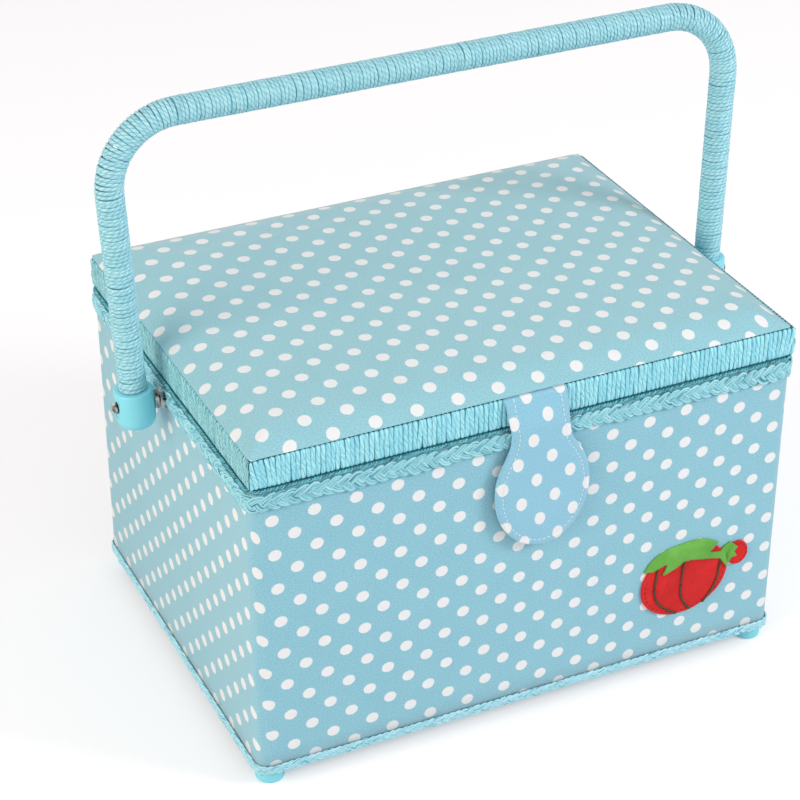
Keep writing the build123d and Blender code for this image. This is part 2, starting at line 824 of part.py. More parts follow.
def felt_leaves():
    """Green leaves on both fruits, joined by a stalk."""
    cap = leaf_cap(tomato_length, tomato_height, tomato_cap, (-35, -35, -20, 5))
    leaves = on_front(cap, tomato_x, tomato_z, tomato_tilt, 1)
    small_cap = leaf_cap(berry_length, berry_width, berry_cap, (-10, 10))
    leaves += on_front(small_cap, berry_x, berry_z, berry_tilt, 1)
    rise = Vector(1, 0, 0).get_angle(Vector(berry_offset, berry_rise, 0))
    stalk = Pos(berry_offset / 4, 0) * Rectangle(berry_offset / 2, stalk_width)
    middle_x = (tomato_x + berry_x) / 2
    middle_z = (tomato_z + berry_z) / 2
    return leaves + on_front(stalk, middle_x, middle_z, rise, 1)


# ---- Places that follow from several pieces
tomato_x = box_length / 2 - tomato_side
tomato_z = wall_bottom + tomato_rise
berry_x = tomato_x + berry_offset
berry_z = tomato_z + berry_rise
tab_back_y = -(box_depth / 2 + top_braid_thickness + tab_clearance)
tab_thickness = 2 * tab_cloth + tab_core_thickness
tab_front_y = tab_back_y - tab_thickness
tab_top = rim_top - tab_clearance
fold_y = (tab_back_y + tab_front_y) / 2
fold_z = tab_top - tab_thickness / 2
snap_face_y = -box_depth / 2 - snap_plate_thickness
outer_washer_x = box_length / 2 + braid_under_washer + seat_gap
inner_washer_x = inner_length / 2 - seat_gap - washer_thickness
bolt_tip_x = inner_washer_x - nut_thickness - bolt_end
tray_margin = leaf_thickness + tray_gap + tray_lip
tray_length = inner_length - 2 * tray_margin
tray_depth = inner_depth - 2 * tray_margin
tray_bottom = body_top - tray_drop - tray_height
divider_places = (-tray_length / 6, tray_length / 6)
pocket_start = pincushion_side + 2 * pincushion_radius + pocket_gap - rim_inner_length / 2
pocket_sides = (pocket_start, rim_inner_length / 2 - pocket_side)


# ---- The pieces, each in a node of its own
nodes = {}
nodes.update(wall_boards())
nodes["base_board"] = base_board()
nodes["outer_cover"] = outer_cover()
nodes["base_cover"] = underside_cover()
nodes["lining"] = lining_cloth()
nodes["edge_binding"] = edge_binding()
nodes["top_braid"] = top_braid()
nodes["base_braid"] = base_braid()
nodes["feet"] = feet()
nodes["foot_screws"] = foot_screws()
nodes["hinge_lower_leaves"] = at_hinges(hinge_leaf(True))
nodes["hinge_pins"] = hinge_pins()
nodes["hinge_lower_screws"] = leaf_screws(True)
nodes["snap_plate"] = snap_plate()
nodes["felt_tomato"] = felt_tomato()
nodes["felt_berry"] = felt_berry()
nodes["felt_leaves"] = felt_leaves()
nodes["tray"] = tray()
nodes["tray_ledges"] = tray_ledges()
nodes.update(lid_rails())
nodes.update(lid_wraps())
nodes["lid_panel"] = lid_panel()
nodes["pad_foam"] = pad_filling()
nodes["pad_cover"] = pad_skin()
nodes["lid_lining"] = lid_lining_cloth()
nodes["lid_pocket"] = pocket()
nodes["pocket_elastic"] = pocket_elastic()
nodes["pincushion"] = pincushion()
nodes["hinge_upper_leaves"] = at_hinges(hinge_leaf(False))
nodes["hinge_upper_screws"] = leaf_screws(False)
nodes["tab_anchor"] = tab_anchor()
nodes["tab_core"] = tab_card()
nodes["tab_front_cover"] = tab_front_cloth()
nodes["tab_back_cover"] = tab_back_cloth()
nodes["snap_magnet"] = snap_magnet()
nodes["pivot_bolts"] = pivot_bolts()
nodes["wall_washers"] = wall_washers()
nodes["wall_nuts"] = wall_nuts()
nodes["socket_nuts"] = socket_nuts()
nodes["handle_tube"] = handle_tube()
nodes["handle_wrap"] = handle_cord()
nodes["socket_left"] = socket(-1)
nodes["socket_right"] = socket(1)

os.makedirs("parts", exist_ok=True)
for name, piece in nodes.items():
    solids = piece if isinstance(piece, list) else [piece]
    solids = [solid for group in solids for solid in group.solids()]
    shape = solids[0] if len(solids) == 1 else Compound(children=solids)
    export_step(shape, "parts/" + name + ".step")
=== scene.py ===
import math
import random

import bmesh
import bpy
from mathutils import Matrix, Vector, noise


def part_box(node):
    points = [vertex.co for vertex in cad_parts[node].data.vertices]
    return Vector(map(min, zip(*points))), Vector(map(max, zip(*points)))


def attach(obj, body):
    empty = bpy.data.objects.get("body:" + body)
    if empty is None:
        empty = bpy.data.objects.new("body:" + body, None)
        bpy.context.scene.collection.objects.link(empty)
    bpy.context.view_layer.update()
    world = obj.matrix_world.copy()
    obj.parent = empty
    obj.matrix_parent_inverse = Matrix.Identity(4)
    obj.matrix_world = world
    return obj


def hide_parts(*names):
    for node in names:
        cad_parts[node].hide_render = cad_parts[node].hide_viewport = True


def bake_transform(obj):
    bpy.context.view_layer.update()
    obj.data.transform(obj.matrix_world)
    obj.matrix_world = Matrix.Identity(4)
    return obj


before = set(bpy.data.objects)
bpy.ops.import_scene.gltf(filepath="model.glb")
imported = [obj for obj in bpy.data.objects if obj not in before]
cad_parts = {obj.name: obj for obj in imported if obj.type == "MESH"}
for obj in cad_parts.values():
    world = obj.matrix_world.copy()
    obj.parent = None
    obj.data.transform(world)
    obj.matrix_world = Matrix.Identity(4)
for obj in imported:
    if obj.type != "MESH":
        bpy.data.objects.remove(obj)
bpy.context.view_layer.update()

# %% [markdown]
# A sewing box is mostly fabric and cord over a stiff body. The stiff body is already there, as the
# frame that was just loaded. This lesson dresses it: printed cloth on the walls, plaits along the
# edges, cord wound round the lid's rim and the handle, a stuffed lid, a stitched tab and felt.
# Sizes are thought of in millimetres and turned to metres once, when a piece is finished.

random.seed(7)
scene = bpy.context.scene
MM = 0.001


def span(node):
    """Lowest and highest corner of a frame part, in millimetres."""
    low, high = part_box(node)
    return low / MM, high / MM


def clamp(value, low=0.0, high=1.0):
    """A value, held between a lowest and a highest one."""
    return min(max(value, low), high)


def new_object(name, data):
    """An object in the scene that shows a mesh, a curve, a lamp or a camera."""
    holder = bpy.data.objects.new(name, data)
    scene.collection.objects.link(holder)
    return holder


walls_low, walls_high = span("outer_cover")
print("walls from", [round(x, 1) for x in walls_low], "to", [round(x, 1) for x in walls_high])

# %% [markdown]
# The camera looks down on the front and the left side. A long lens keeps the upright edges nearly
# parallel. The camera's place is worked out from an aim point, a distance and two angles, which is
# easier to correct than three coordinates.

# %% camera
AIM = Vector((-0.021, 0.0, 0.1427))
DISTANCE = 1.353
AZIMUTH = math.radians(-25.17)
ELEVATION = math.radians(31.32)

lens = bpy.data.cameras.new("camera")
lens.lens = 107.5
lens.sensor_width = 36.0
lens.clip_end = 20.0
camera = new_object("camera", lens)
away = Vector((
    math.sin(AZIMUTH) * math.cos(ELEVATION),
    -math.cos(AZIMUTH) * math.cos(ELEVATION),
    math.sin(ELEVATION),
))
camera.location = AIM + DISTANCE * away
camera.rotation_euler = away.to_track_quat("Z", "Y").to_euler()
scene.camera = camera
print("camera at", [round(x, 3) for x in camera.location])

# %% [markdown]
# Materials are built from nodes. Three small helpers keep the cells short: one adds a node and
# plugs its inputs, one does sums with numbers and one does sums with vectors. An input may be a
# plain value or the output of another node.

# %% node helpers
def plug(tree, value, socket):
    """Sets an input, or links it when the value is another node's output."""
    if isinstance(value, bpy.types.NodeSocket):
        tree.links.new(value, socket)
    else:
        socket.default_value = value


def add(tree, kind, inputs=None, **settings):
    """A new node with its settings and inputs."""
    node = tree.nodes.new("ShaderNode" + kind)
    for key, value in settings.items():
        setattr(node, key, value)
    for key, value in (inputs or {}).items():
        plug(tree, value, node.inputs[key])
    return node


def calc(tree, operation, *terms):
    """A sum with numbers."""
    node = add(tree, "Math", dict(enumerate(terms)), operation=operation)
    return node.outputs[0]


def calc_vector(tree, operation, *terms):
    """A sum with vectors."""
    return add(tree, "VectorMath", dict(enumerate(terms)), operation=operation)


def ramp(tree, value, low, high, start=0.0, end=1.0, smooth=False):
    """Maps a value from one range to another, and holds it there."""
    kind = "SMOOTHSTEP" if smooth else "LINEAR"
    inputs = {"Value": value, "From Min": low, "From Max": high, "To Min": start, "To Max": end}
    return add(tree, "MapRange", inputs, interpolation_type=kind).outputs[0]


def blend_colours(tree, share, first, second):
    """Goes from the first colour to the second as the share goes from 0 to 1."""
    node = add(tree, "Mix", data_type="RGBA")
    plug(tree, share, node.inputs[0])
    for colour, socket in ((first, node.inputs[6]), (second, node.inputs[7])):
        plug(tree, colour if isinstance(colour, bpy.types.NodeSocket) else (*colour, 1.0), socket)
    return node.outputs[2]


def new_group(name, inputs, outputs):
    """An empty node group with named inputs and outputs."""
    group = bpy.data.node_groups.new(name, "ShaderNodeTree")
    for label, start in inputs.items():
        kind = "NodeSocketFloat" if isinstance(start, float) else "NodeSocketVector"
        group.interface.new_socket(name=label, in_out="INPUT", socket_type=kind).default_value = start
    for label in outputs:
        group.interface.new_socket(name=label, in_out="OUTPUT", socket_type="NodeSocketFloat")
    way_in = group.nodes.new("NodeGroupInput").outputs
    way_out = group.nodes.new("NodeGroupOutput").inputs
    return group, way_in, way_out


def use_group(tree, group, inputs):
    """Places a group in a material and returns its outputs."""
    node = add(tree, "Group", node_tree=group)
    for key, value in inputs.items():
        plug(tree, value, node.inputs[key])
    return node.outputs


# %% [markdown]
# Printed dots sit on two square grids, one shifted by half a cell against the other. Wrapping a
# position into one cell gives the way to the nearest dot of a grid, and its length is the
# distance. The nearer of the two grids decides. A little noise keeps the print from being too
# sharp, as ink on cotton is.

# %% effect: printed dots
dots, dots_in, dots_out = new_group("printed_dots", {"Cells": (0.0, 0.0, 0.0), "Radius": 0.34}, ["Mask"])
wander = add(dots, "TexNoise", {"Vector": dots_in["Cells"], "Scale": 9.0, "Detail": 2.0})
nearest = []
for shift in (0.0, 1.0):
    moved = calc_vector(dots, "ADD", dots_in["Cells"], (shift, shift, 0.0)).outputs[0]
    cell = calc_vector(dots, "WRAP", moved, (1.0, 1.0, 1.0), (-1.0, -1.0, -1.0)).outputs[0]
    flat = calc_vector(dots, "MULTIPLY", cell, (1.0, 1.0, 0.0)).outputs[0]
    nearest.append(calc_vector(dots, "LENGTH", flat).outputs["Value"])
reach = calc(dots, "MINIMUM", nearest[0], nearest[1])
ragged = calc(dots, "MULTIPLY_ADD", wander.outputs["Fac"], 0.05, reach)
beyond = calc(dots, "SUBTRACT", ragged, dots_in["Radius"])
plug(dots, ramp(dots, beyond, 0.045, 0.0, smooth=True), dots_out["Mask"])
print("group", dots.name, "with", len(dots.nodes), "nodes")

# %% [markdown]
# A plain weave shows the warp on one square of a tiny chessboard and the weft on the next. Each
# thread is round, which the sine of the place across it gives. The same group also puts out slow
# changes of shade, because cotton is never dyed quite evenly, and slubs, which are thicker threads.

# %% effect: woven cloth
weave, weave_in, weave_out = new_group(
    "plain_weave", {"Place": (0.0, 0.0, 0.0), "Thread": 0.45}, ["Height", "Shade"]
)
per_mm = calc(weave, "DIVIDE", 1.0, weave_in["Thread"])
threads = add(weave, "VectorMath", {0: weave_in["Place"], 3: per_mm}, operation="SCALE")
apart = add(weave, "SeparateXYZ", {0: threads.outputs[0]})
rounds = [
    calc(weave, "ABSOLUTE", calc(weave, "SINE", calc(weave, "MULTIPLY", apart.outputs[k], math.pi)))
    for k in (0, 1)
]
chess = add(weave, "TexChecker", {"Vector": threads.outputs[0], "Scale": 1.0})
over = add(weave, "Mix", {0: chess.outputs["Fac"], 2: rounds[0], 3: rounds[1]}, data_type="FLOAT")
slubs = add(weave, "TexNoise", {"Vector": weave_in["Place"], "Scale": 1.25, "Detail": 3.0})
clouds = add(weave, "TexNoise", {"Vector": weave_in["Place"], "Scale": 0.03, "Detail": 2.0})
lift = calc(weave, "MULTIPLY_ADD", slubs.outputs["Fac"], 0.6, over.outputs[0])
plug(weave, lift, weave_out["Height"])
tone = calc(weave, "MULTIPLY_ADD", clouds.outputs["Fac"], 0.12, slubs.outputs["Fac"])
plug(weave, ramp(weave, tone, 0.36, 0.76), weave_out["Shade"])
print("group", weave.name, "with", len(weave.nodes), "nodes")

# %% [markdown]
# The cord is twisted from thin shiny paper, so fine fibres cross it at a small angle. Noise that
# is stretched along the strand, and laid over, gives them, and its lowest parts are the cracks
# between fibres. Each strand has a number of its own, kept on the mesh, so that no two neighbours
# take the same shade. The crack output marks the cracks and the grooves between plies for painted
# shade. The last output marks the two edges of a turn, where it dives between its neighbours and
# hardly any light gets in, also for painted shade.

# %% effect: fibres of a cord
fibres, fibres_in, fibres_out = new_group(
    "cord_fibres",
    {
        "Along": (0.0, 0.0, 0.0), "Strand": 0.0, "Lay": 0.0, "Slant": 7.5,
        "Plies": 0.0, "Splits": 0.42, "Fineness": 5.5,
    },
    ["Height", "Shade", "Crack_shade", "Edge"],
)
apart = add(fibres, "SeparateXYZ", {0: fibres_in["Along"]})
own = calc(fibres, "MULTIPLY", fibres_in["Strand"], 91.0)
laid_over = calc(fibres, "MULTIPLY_ADD", apart.outputs[1], fibres_in["Lay"], apart.outputs[0])
stretched = calc(fibres, "MULTIPLY", apart.outputs[1], 0.055)
there = add(fibres, "CombineXYZ", {0: laid_over, 1: stretched, 2: own})
fine_inputs = {"Vector": there.outputs[0], "Scale": fibres_in["Fineness"], "Detail": 3.0, "Roughness": 0.62}
fine = add(fibres, "TexNoise", fine_inputs)
start = calc(fibres, "MULTIPLY", fibres_in["Strand"], 7.0)
slanted = calc(fibres, "MULTIPLY_ADD", apart.outputs[0], fibres_in["Slant"], apart.outputs[1])
ply = calc(fibres, "FRACT", calc(fibres, "MULTIPLY_ADD", slanted, fibres_in["Plies"], start))
off_ply = calc(fibres, "ABSOLUTE", calc(fibres, "SUBTRACT", ply, 0.5))
frayed = calc(fibres, "MULTIPLY_ADD", fine.outputs["Fac"], 0.18, off_ply)
between = ramp(fibres, frayed, 0.46, 0.56, smooth=True)
groove = calc(fibres, "MULTIPLY", between, ramp(fibres, fibres_in["Plies"], 0.0, 0.001))
plug(fibres, calc(fibres, "SUBTRACT", fine.outputs["Fac"], groove), fibres_out["Height"])
both = calc(fibres, "MULTIPLY_ADD", fibres_in["Strand"], 0.22, fine.outputs["Fac"])
plug(fibres, ramp(fibres, both, 0.36, 0.86), fibres_out["Shade"])
# the cracks between fibres and the grooves between plies are a mask for painted shade
below = calc(fibres, "SUBTRACT", fibres_in["Splits"], fine.outputs["Fac"])
split = ramp(fibres, below, 0.0, 0.08, smooth=True)
plug(fibres, calc(fibres, "MAXIMUM", split, groove), fibres_out["Crack_shade"])
# the edges of a turn, where it dives under its neighbours, are a mask for painted shade
patchy = add(fibres, "CombineXYZ", {0: calc(fibres, "MULTIPLY", apart.outputs[1], 0.45), 1: own})
loose = add(fibres, "TexNoise", {"Vector": patchy.outputs[0], "Scale": 1.0, "Detail": 1.0})
aside = calc(fibres, "MULTIPLY_ADD", loose.outputs["Fac"], 0.16, calc(fibres, "ABSOLUTE", apart.outputs[0]))
plug(fibres, ramp(fibres, aside, 0.44, 0.50, smooth=True), fibres_out["Edge"])
print("group", fibres.name, "with", len(fibres.nodes), "nodes")

# %% [markdown]
# Moulded, painted and rolled surfaces all carry some unevenness: fingerprints, flow marks, dust.
# One group of slow and fine noise serves them all, with a size of its own in each material.
# On the steel of the bolts and nuts, its patches are painted dark reflections.

# %% effect: uneven surface
uneven, uneven_in, uneven_out = new_group(
    "uneven_surface", {"Place": (0.0, 0.0, 0.0), "Grain": 1.0, "Spread": 0.05}, ["Height", "Patches"]
)
coarse = add(uneven, "TexNoise", {"Vector": uneven_in["Place"], "Scale": uneven_in["Spread"], "Detail": 4.0})
grain = add(uneven, "TexNoise", {"Vector": uneven_in["Place"], "Scale": uneven_in["Grain"], "Detail": 4.0})
plug(uneven, grain.outputs["Fac"], uneven_out["Height"])
plug(uneven, ramp(uneven, coarse.outputs["Fac"], 0.35, 0.65), uneven_out["Patches"])
print("group", uneven.name, "with", len(uneven.nodes), "nodes")

# %% [markdown]
# Each material starts the same way, with a tree and a Principled shader. Values that are the same
# everywhere are set on the shader itself. A second helper gives the place on the piece.

# %% a material's first nodes
def new_material(name, **constants):
    """A material with a Principled shader. Returns it, its tree and the shader."""
    material = bpy.data.materials.new(name)
    material.use_nodes = True
    tree = material.node_tree
    shader = tree.nodes["Principled BSDF"]
    for label, value in constants.items():
        shader.inputs[label.replace("_", " ")].default_value = value
    return material, tree, shader


def place_on_piece(tree):
    """The place on the piece, in millimetres."""
    where = add(tree, "TexCoord").outputs["Object"]
    return add(tree, "VectorMath", {0: where, 3: 1 / MM}, operation="SCALE").outputs[0]


def raise_surface(tree, shader, height, distance, strength=1.0):
    """Feeds a height, in millimetres, through a Bump node to the shader."""
    bump = add(tree, "Bump", {"Height": height, "Distance": distance * MM, "Strength": strength})
    plug(tree, bump.outputs[0], shader.inputs["Normal"])


# %% [markdown]
# The printed cotton is used three times: on the walls, on the lid and on the tab. The pattern
# follows the cloth and not the room, so it reads a map that is laid on each piece, in cells of
# the print. One unit of the map is half the spacing of the dots along a row.

# %% finish: printed cotton
CELL = 11.1


def printed_cotton(name, ground, deeper):
    """Cotton with white dots on a ground that varies between two blues."""
    material, tree, shader = new_material(
        name, Roughness=0.88, Specular_IOR_Level=0.25,
        Sheen_Weight=0.55, Sheen_Roughness=0.42, Sheen_Tint=(1.0, 0.94, 0.82, 1.0),
    )
    cells = add(tree, "UVMap", uv_map="cells").outputs[0]
    cloth = add(tree, "VectorMath", {0: cells, 3: CELL}, operation="SCALE").outputs[0]
    mask = use_group(tree, dots, {"Cells": cells, "Radius": 0.318})["Mask"]
    woven = use_group(tree, weave, {"Place": cloth, "Thread": 0.42})
    blue = blend_colours(tree, woven["Shade"], deeper, ground)
    plug(tree, blend_colours(tree, mask, blue, (0.880, 0.900, 0.920)), shader.inputs["Base Color"])
    thick = calc(tree, "MULTIPLY_ADD", mask, 0.35, woven["Height"])
    raise_surface(tree, shader, thick, 0.07, 0.8)
    return material


wall_cotton = printed_cotton("wall_cotton", (0.350, 0.665, 0.785), (0.210, 0.515, 0.640))
# the lid's ground is the cloth's own blue, made paler than the walls' as painted sheen from the grazing view
# of the top
lid_cotton_painted_sheen = printed_cotton("lid_cotton_painted_sheen", (0.380, 0.695, 0.785), (0.250, 0.550, 0.640))
tab_cotton = printed_cotton("tab_cotton", (0.340, 0.660, 0.830), (0.240, 0.540, 0.710))
print("printed cotton:", wall_cotton.name, lid_cotton_painted_sheen.name, tab_cotton.name)

# %% [markdown]
# Nine cords and threads share one recipe: fibres that are lighter or darker, painted shade in the
# cracks and grooves, and a gloss that is broken by the fibres. The wound cords also get painted
# shade at the edges of each turn, where it dives between its neighbours.

# %% finish: cords and threads
def cord_finish(
    name, light, dark, crack_shade, roughness=0.34,
    lay=0.0, plies=0.0, splits=0.42, edges=0.0, slant=7.5, fineness=5.5,
):
    """Shiny fibres along a strand, lighter and darker by strand."""
    material, tree, shader = new_material(name, Specular_IOR_Level=0.55)
    along = add(tree, "UVMap", uv_map="along").outputs[0]
    strand = add(tree, "Attribute", attribute_name="strand").outputs["Fac"]
    made = use_group(tree, fibres, {
        "Along": along, "Strand": strand, "Lay": lay, "Slant": slant,
        "Plies": plies, "Splits": splits, "Fineness": fineness,
    })
    colour = blend_colours(tree, made["Shade"], dark, light)
    # cracks, ply grooves and, with edges, the edges of each turn take the crack colour: painted shade in the
    # hollows
    deep = made["Crack_shade"]
    if edges:
        deep = calc(tree, "MAXIMUM", calc(tree, "MULTIPLY", deep, edges), made["Edge"])
    plug(tree, blend_colours(tree, deep, colour, crack_shade), shader.inputs["Base Color"])
    rough = ramp(tree, made["Height"], 0.3, 0.7, roughness, roughness + 0.2)
    plug(tree, calc(tree, "MULTIPLY_ADD", deep, 0.4, rough), shader.inputs["Roughness"])
    raise_surface(tree, shader, made["Height"], 0.3, 0.8)
    return material


rim_cord = cord_finish(
    "rim_cord", (0.465, 0.925, 1.000), (0.225, 0.690, 0.850), (0.110, 0.430, 0.540), 0.25,
    lay=0.10, plies=0.18, edges=0.42, fineness=3.6,
)
# a darker, greener copy of the rim cord with more shade at the turns' edges: painted shade on the side rails
side_cord_painted_shade = cord_finish(
    "side_cord_painted_shade", (0.420, 0.790, 0.830), (0.170, 0.520, 0.600), (0.040, 0.230, 0.290), 0.27,
    lay=0.10, plies=0.24, edges=0.80, fineness=3.6,
)
handle_cord = cord_finish(
    "handle_cord", (0.452, 0.808, 0.880), (0.298, 0.670, 0.778), (0.095, 0.330, 0.420), 0.25,
    plies=0.38, edges=0.50, slant=2.6, fineness=3.6,
)
plaited = {"lay": 0.05, "splits": 0.45, "fineness": 2.4}
plait_cord = cord_finish(
    "plait_cord", (0.430, 0.790, 0.850), (0.190, 0.560, 0.680), (0.050, 0.250, 0.320), **plaited
)
foot_cord = cord_finish(
    "foot_cord", (0.560, 0.870, 0.950), (0.310, 0.690, 0.820), (0.100, 0.400, 0.500), **plaited
)
edge_cord = cord_finish(
    "edge_cord", (0.220, 0.700, 0.800), (0.040, 0.340, 0.430), (0.004, 0.070, 0.100), 0.35, splits=0.5
)
white_thread = cord_finish(
    "white_thread", (0.92, 0.95, 0.96), (0.82, 0.88, 0.90), (0.62, 0.72, 0.76), 0.5
)
brown_thread = cord_finish(
    "brown_thread", (0.125, 0.080, 0.032), (0.070, 0.045, 0.020), (0.02, 0.01, 0.0), 0.6, plies=0.4
)
red_thread = cord_finish(
    "red_thread", (0.290, 0.014, 0.016), (0.140, 0.008, 0.010), (0.03, 0.0, 0.0), 0.6
)
print("cords and threads:", rim_cord.name, "to", red_thread.name)

# %% [markdown]
# Most of the remaining finishes belong to parts that the frame already has: moulded plastic,
# steel, brass, wood and boards. Felt and plain cotton follow. Each reads the uneven surface at its
# own grain, and the cotton reads the weave.

# %% finish: plain surfaces
def plain_finish(name, light, dark, roughness, grain, relief, metallic=0.0, spread=0.05, **constants):
    """A colour with patches, a grain in relief, and roughness that follows the patches."""
    material, tree, shader = new_material(name, Metallic=metallic, **constants)
    made = use_group(tree, uneven, {"Place": place_on_piece(tree), "Grain": grain, "Spread": spread})
    plug(tree, blend_colours(tree, made["Patches"], dark, light), shader.inputs["Base Color"])
    rough = ramp(tree, made["Patches"], 0.0, 1.0, roughness, roughness + 0.08)
    plug(tree, rough, shader.inputs["Roughness"])
    raise_surface(tree, shader, made["Height"], relief, 0.6)
    return material


blue_plastic = plain_finish("blue_plastic", (0.245, 0.735, 0.850), (0.230, 0.710, 0.825), 0.30, 0.8, 0.02)
tray_plastic = plain_finish("tray_plastic", (0.84, 0.86, 0.86), (0.80, 0.83, 0.84), 0.38, 0.9, 0.03)
bright_steel = plain_finish("bright_steel", (0.66, 0.66, 0.68), (0.55, 0.55, 0.57), 0.20, 2.5, 0.01, 1.0)
# the steel's near-black patches are painted dark reflections, like those on the bolt heads and nuts
steel_painted_reflections = plain_finish(
    "steel_painted_reflections", (0.74, 0.73, 0.71), (0.035, 0.034, 0.034), 0.16, 2.5, 0.01, metallic=1.0, spread=0.32
)
# the rails are dark blue-green as painted shade, so that the gaps between turns of cord show dark
rail_wood_painted_shade = plain_finish("rail_wood_painted_shade", (0.030, 0.150, 0.185), (0.020, 0.110, 0.140), 0.7, 0.7, 0.1)
hinge_brass = plain_finish("hinge_brass", (0.78, 0.62, 0.30), (0.66, 0.50, 0.22), 0.26, 2.0, 0.01, 1.0)
grey_board = plain_finish("grey_board", (0.50, 0.40, 0.28), (0.42, 0.33, 0.23), 0.85, 1.2, 0.15)
pale_wood = plain_finish("pale_wood", (0.64, 0.48, 0.29), (0.55, 0.40, 0.23), 0.65, 0.7, 0.12)
felt_looks = {"Sheen_Weight": 0.08, "Sheen_Roughness": 0.6, "Specular_IOR_Level": 0.08}
red_felt = plain_finish(
    "red_felt", (0.760, 0.024, 0.024), (0.560, 0.014, 0.016), 0.92, 1.0, 0.45, **felt_looks
)
green_felt = plain_finish(
    "green_felt", (0.185, 0.500, 0.090), (0.115, 0.370, 0.055), 0.92, 1.0, 0.45, **felt_looks
)


def plain_cotton(name, light, dark):
    """Undyed or plain-dyed cotton, or cotton made dark as painted shade, woven on the piece's own place."""
    material, tree, shader = new_material(name, Roughness=0.9, Sheen_Weight=0.1, Specular_IOR_Level=0.2)
    turning = {"Vector": place_on_piece(tree), "Rotation": (0.62, 0.48, 0.31)}
    turned = add(tree, "Mapping", turning).outputs[0]
    woven = use_group(tree, weave, {"Place": turned, "Thread": 0.5})
    plug(tree, blend_colours(tree, woven["Shade"], dark, light), shader.inputs["Base Color"])
    raise_surface(tree, shader, woven["Height"], 0.08, 0.7)
    return material


# the edge tape's dark cotton is painted shade
tape_cotton_painted_shade = plain_cotton("tape_cotton_painted_shade", (0.045, 0.230, 0.290), (0.035, 0.190, 0.245))
cream_cotton = plain_cotton("cream_cotton", (0.80, 0.80, 0.76), (0.74, 0.74, 0.70))
blue_cotton = plain_cotton("blue_cotton", (0.27, 0.56, 0.68), (0.25, 0.53, 0.65))
print("plain finishes:", len(bpy.data.materials), "materials in all")

# %% [markdown]
# A finished piece is a mesh with its place in its points, so its object stays at the origin. One
# helper turns millimetres to metres, makes the object, hangs it on the body that it moves with and
# hides the frame parts it stands for.

# %% finishing a piece
def resize(bm, factor):
    """Makes everything in a bmesh larger or smaller about the origin."""
    bmesh.ops.scale(bm, vec=(factor, factor, factor), verts=bm.verts)


def mesh_of(bm, name):
    """The mesh of a bmesh, which isn't needed after that."""
    mesh = bpy.data.meshes.new(name)
    bm.to_mesh(mesh)
    bm.free()
    return mesh


def make_piece(name, bm, body, material, stands_for=()):
    """Turns a bmesh in millimetres into a finished piece."""
    resize(bm, MM)
    mesh = mesh_of(bm, name)
    mesh.shade_smooth()
    mesh.materials.append(material)
    piece = new_object(name, mesh)
    if body:
        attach(piece, body)
    if stands_for:
        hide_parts(*stands_for)
    print(name, "has", len(mesh.polygons), "faces and rides on", body)
    return piece


def settle(piece):
    """Applies a piece's modifiers and returns it."""
    graph = bpy.context.evaluated_depsgraph_get()
    mesh = bpy.data.meshes.new_from_object(piece.evaluated_get(graph))
    piece.modifiers.clear()
    piece.data = mesh
    return piece


def add_thickness(piece, thick, side):
    """Live thickness of cloth, inwards or outwards from the modelled face."""
    skin = piece.modifiers.new("cloth thickness", "SOLIDIFY")
    skin.thickness = thick * MM
    skin.offset = side


# %% [markdown]
# Most shapes grow from a face or a ring of edges that is pulled out step by step, and are cut or
# rounded afterwards. The operators for that always need the same few lines round them, which are
# written once here. A map is laid by a rule that gets a corner's place and its face.

# %% shaping helpers
def only(made, kind):
    """The points, edges or faces among what an operator made."""
    return [g for g in made if isinstance(g, kind)]


def pull_edges(bm, edges, way):
    """Extrudes edges one way. Returns the new points and the new edges."""
    made = bmesh.ops.extrude_edge_only(bm, edges=edges)["geom"]
    verts = only(made, bmesh.types.BMVert)
    bmesh.ops.translate(bm, vec=way, verts=verts)
    return verts, only(made, bmesh.types.BMEdge)


def raise_faces(bm, faces, way):
    """Extrudes faces one way. Returns the new faces."""
    made = bmesh.ops.extrude_face_region(bm, geom=faces)["geom"]
    bmesh.ops.translate(bm, vec=way, verts=only(made, bmesh.types.BMVert))
    return only(made, bmesh.types.BMFace)


def cut_through(bm, place, normal, clear_outer=False):
    """Cuts everything by a plane. Returns what lies on the cut."""
    geom = bm.verts[:] + bm.edges[:] + bm.faces[:]
    made = bmesh.ops.bisect_plane(bm, geom=geom, plane_co=place, plane_no=normal, clear_outer=clear_outer)
    return made["geom_cut"]


def bevel(bm, geom, offset, steps, affect="EDGES", **more):
    """Rounds edges or points."""
    bmesh.ops.bevel(
        bm, geom=geom, offset=offset, offset_type="OFFSET", affect=affect,
        segments=steps, profile=0.5, material=-1, **more,
    )


def face_outwards(bm, out):
    """Turns all faces round if most look inwards. A rule gives the way out at a face."""
    bm.normal_update()
    if sum(f.normal.dot(out(f)) for f in bm.faces) < 0:
        bmesh.ops.reverse_faces(bm, faces=bm.faces)


def lay_map(bm, name, where):
    """Writes a map from a rule that knows each corner's place and its face."""
    layer = bm.loops.layers.uv.new(name)
    for face in bm.faces:
        for loop in face.loops:
            loop[layer].uv = where(loop.vert.co, face)


# %% [markdown]
# Almost everything on the box follows a rectangle with rounded corners. A one-face grid, scaled,
# with its four points bevelled, is that shape. Its edges can be pulled up into a wall, and its
# points, in their order, are a path for trimmings.

# %% rounded rectangles and paths
WALL_CORNER = 7.0
CORNER_STEPS = 8


def rounded_rectangle(bm, low, high, z, corner, steps):
    """A flat face with rounded corners, at one height."""
    verts = bmesh.ops.create_grid(bm, x_segments=1, y_segments=1, size=0.5)["verts"]
    bmesh.ops.scale(bm, vec=(high[0] - low[0], high[1] - low[1], 1), verts=verts)
    middle = ((high[0] + low[0]) / 2, (high[1] + low[1]) / 2, z)
    bmesh.ops.translate(bm, vec=middle, verts=verts)
    bevel(bm, verts, corner, steps, "VERTICES")
    bm.faces.ensure_lookup_table()
    return max(bm.faces, key=lambda f: f.index)


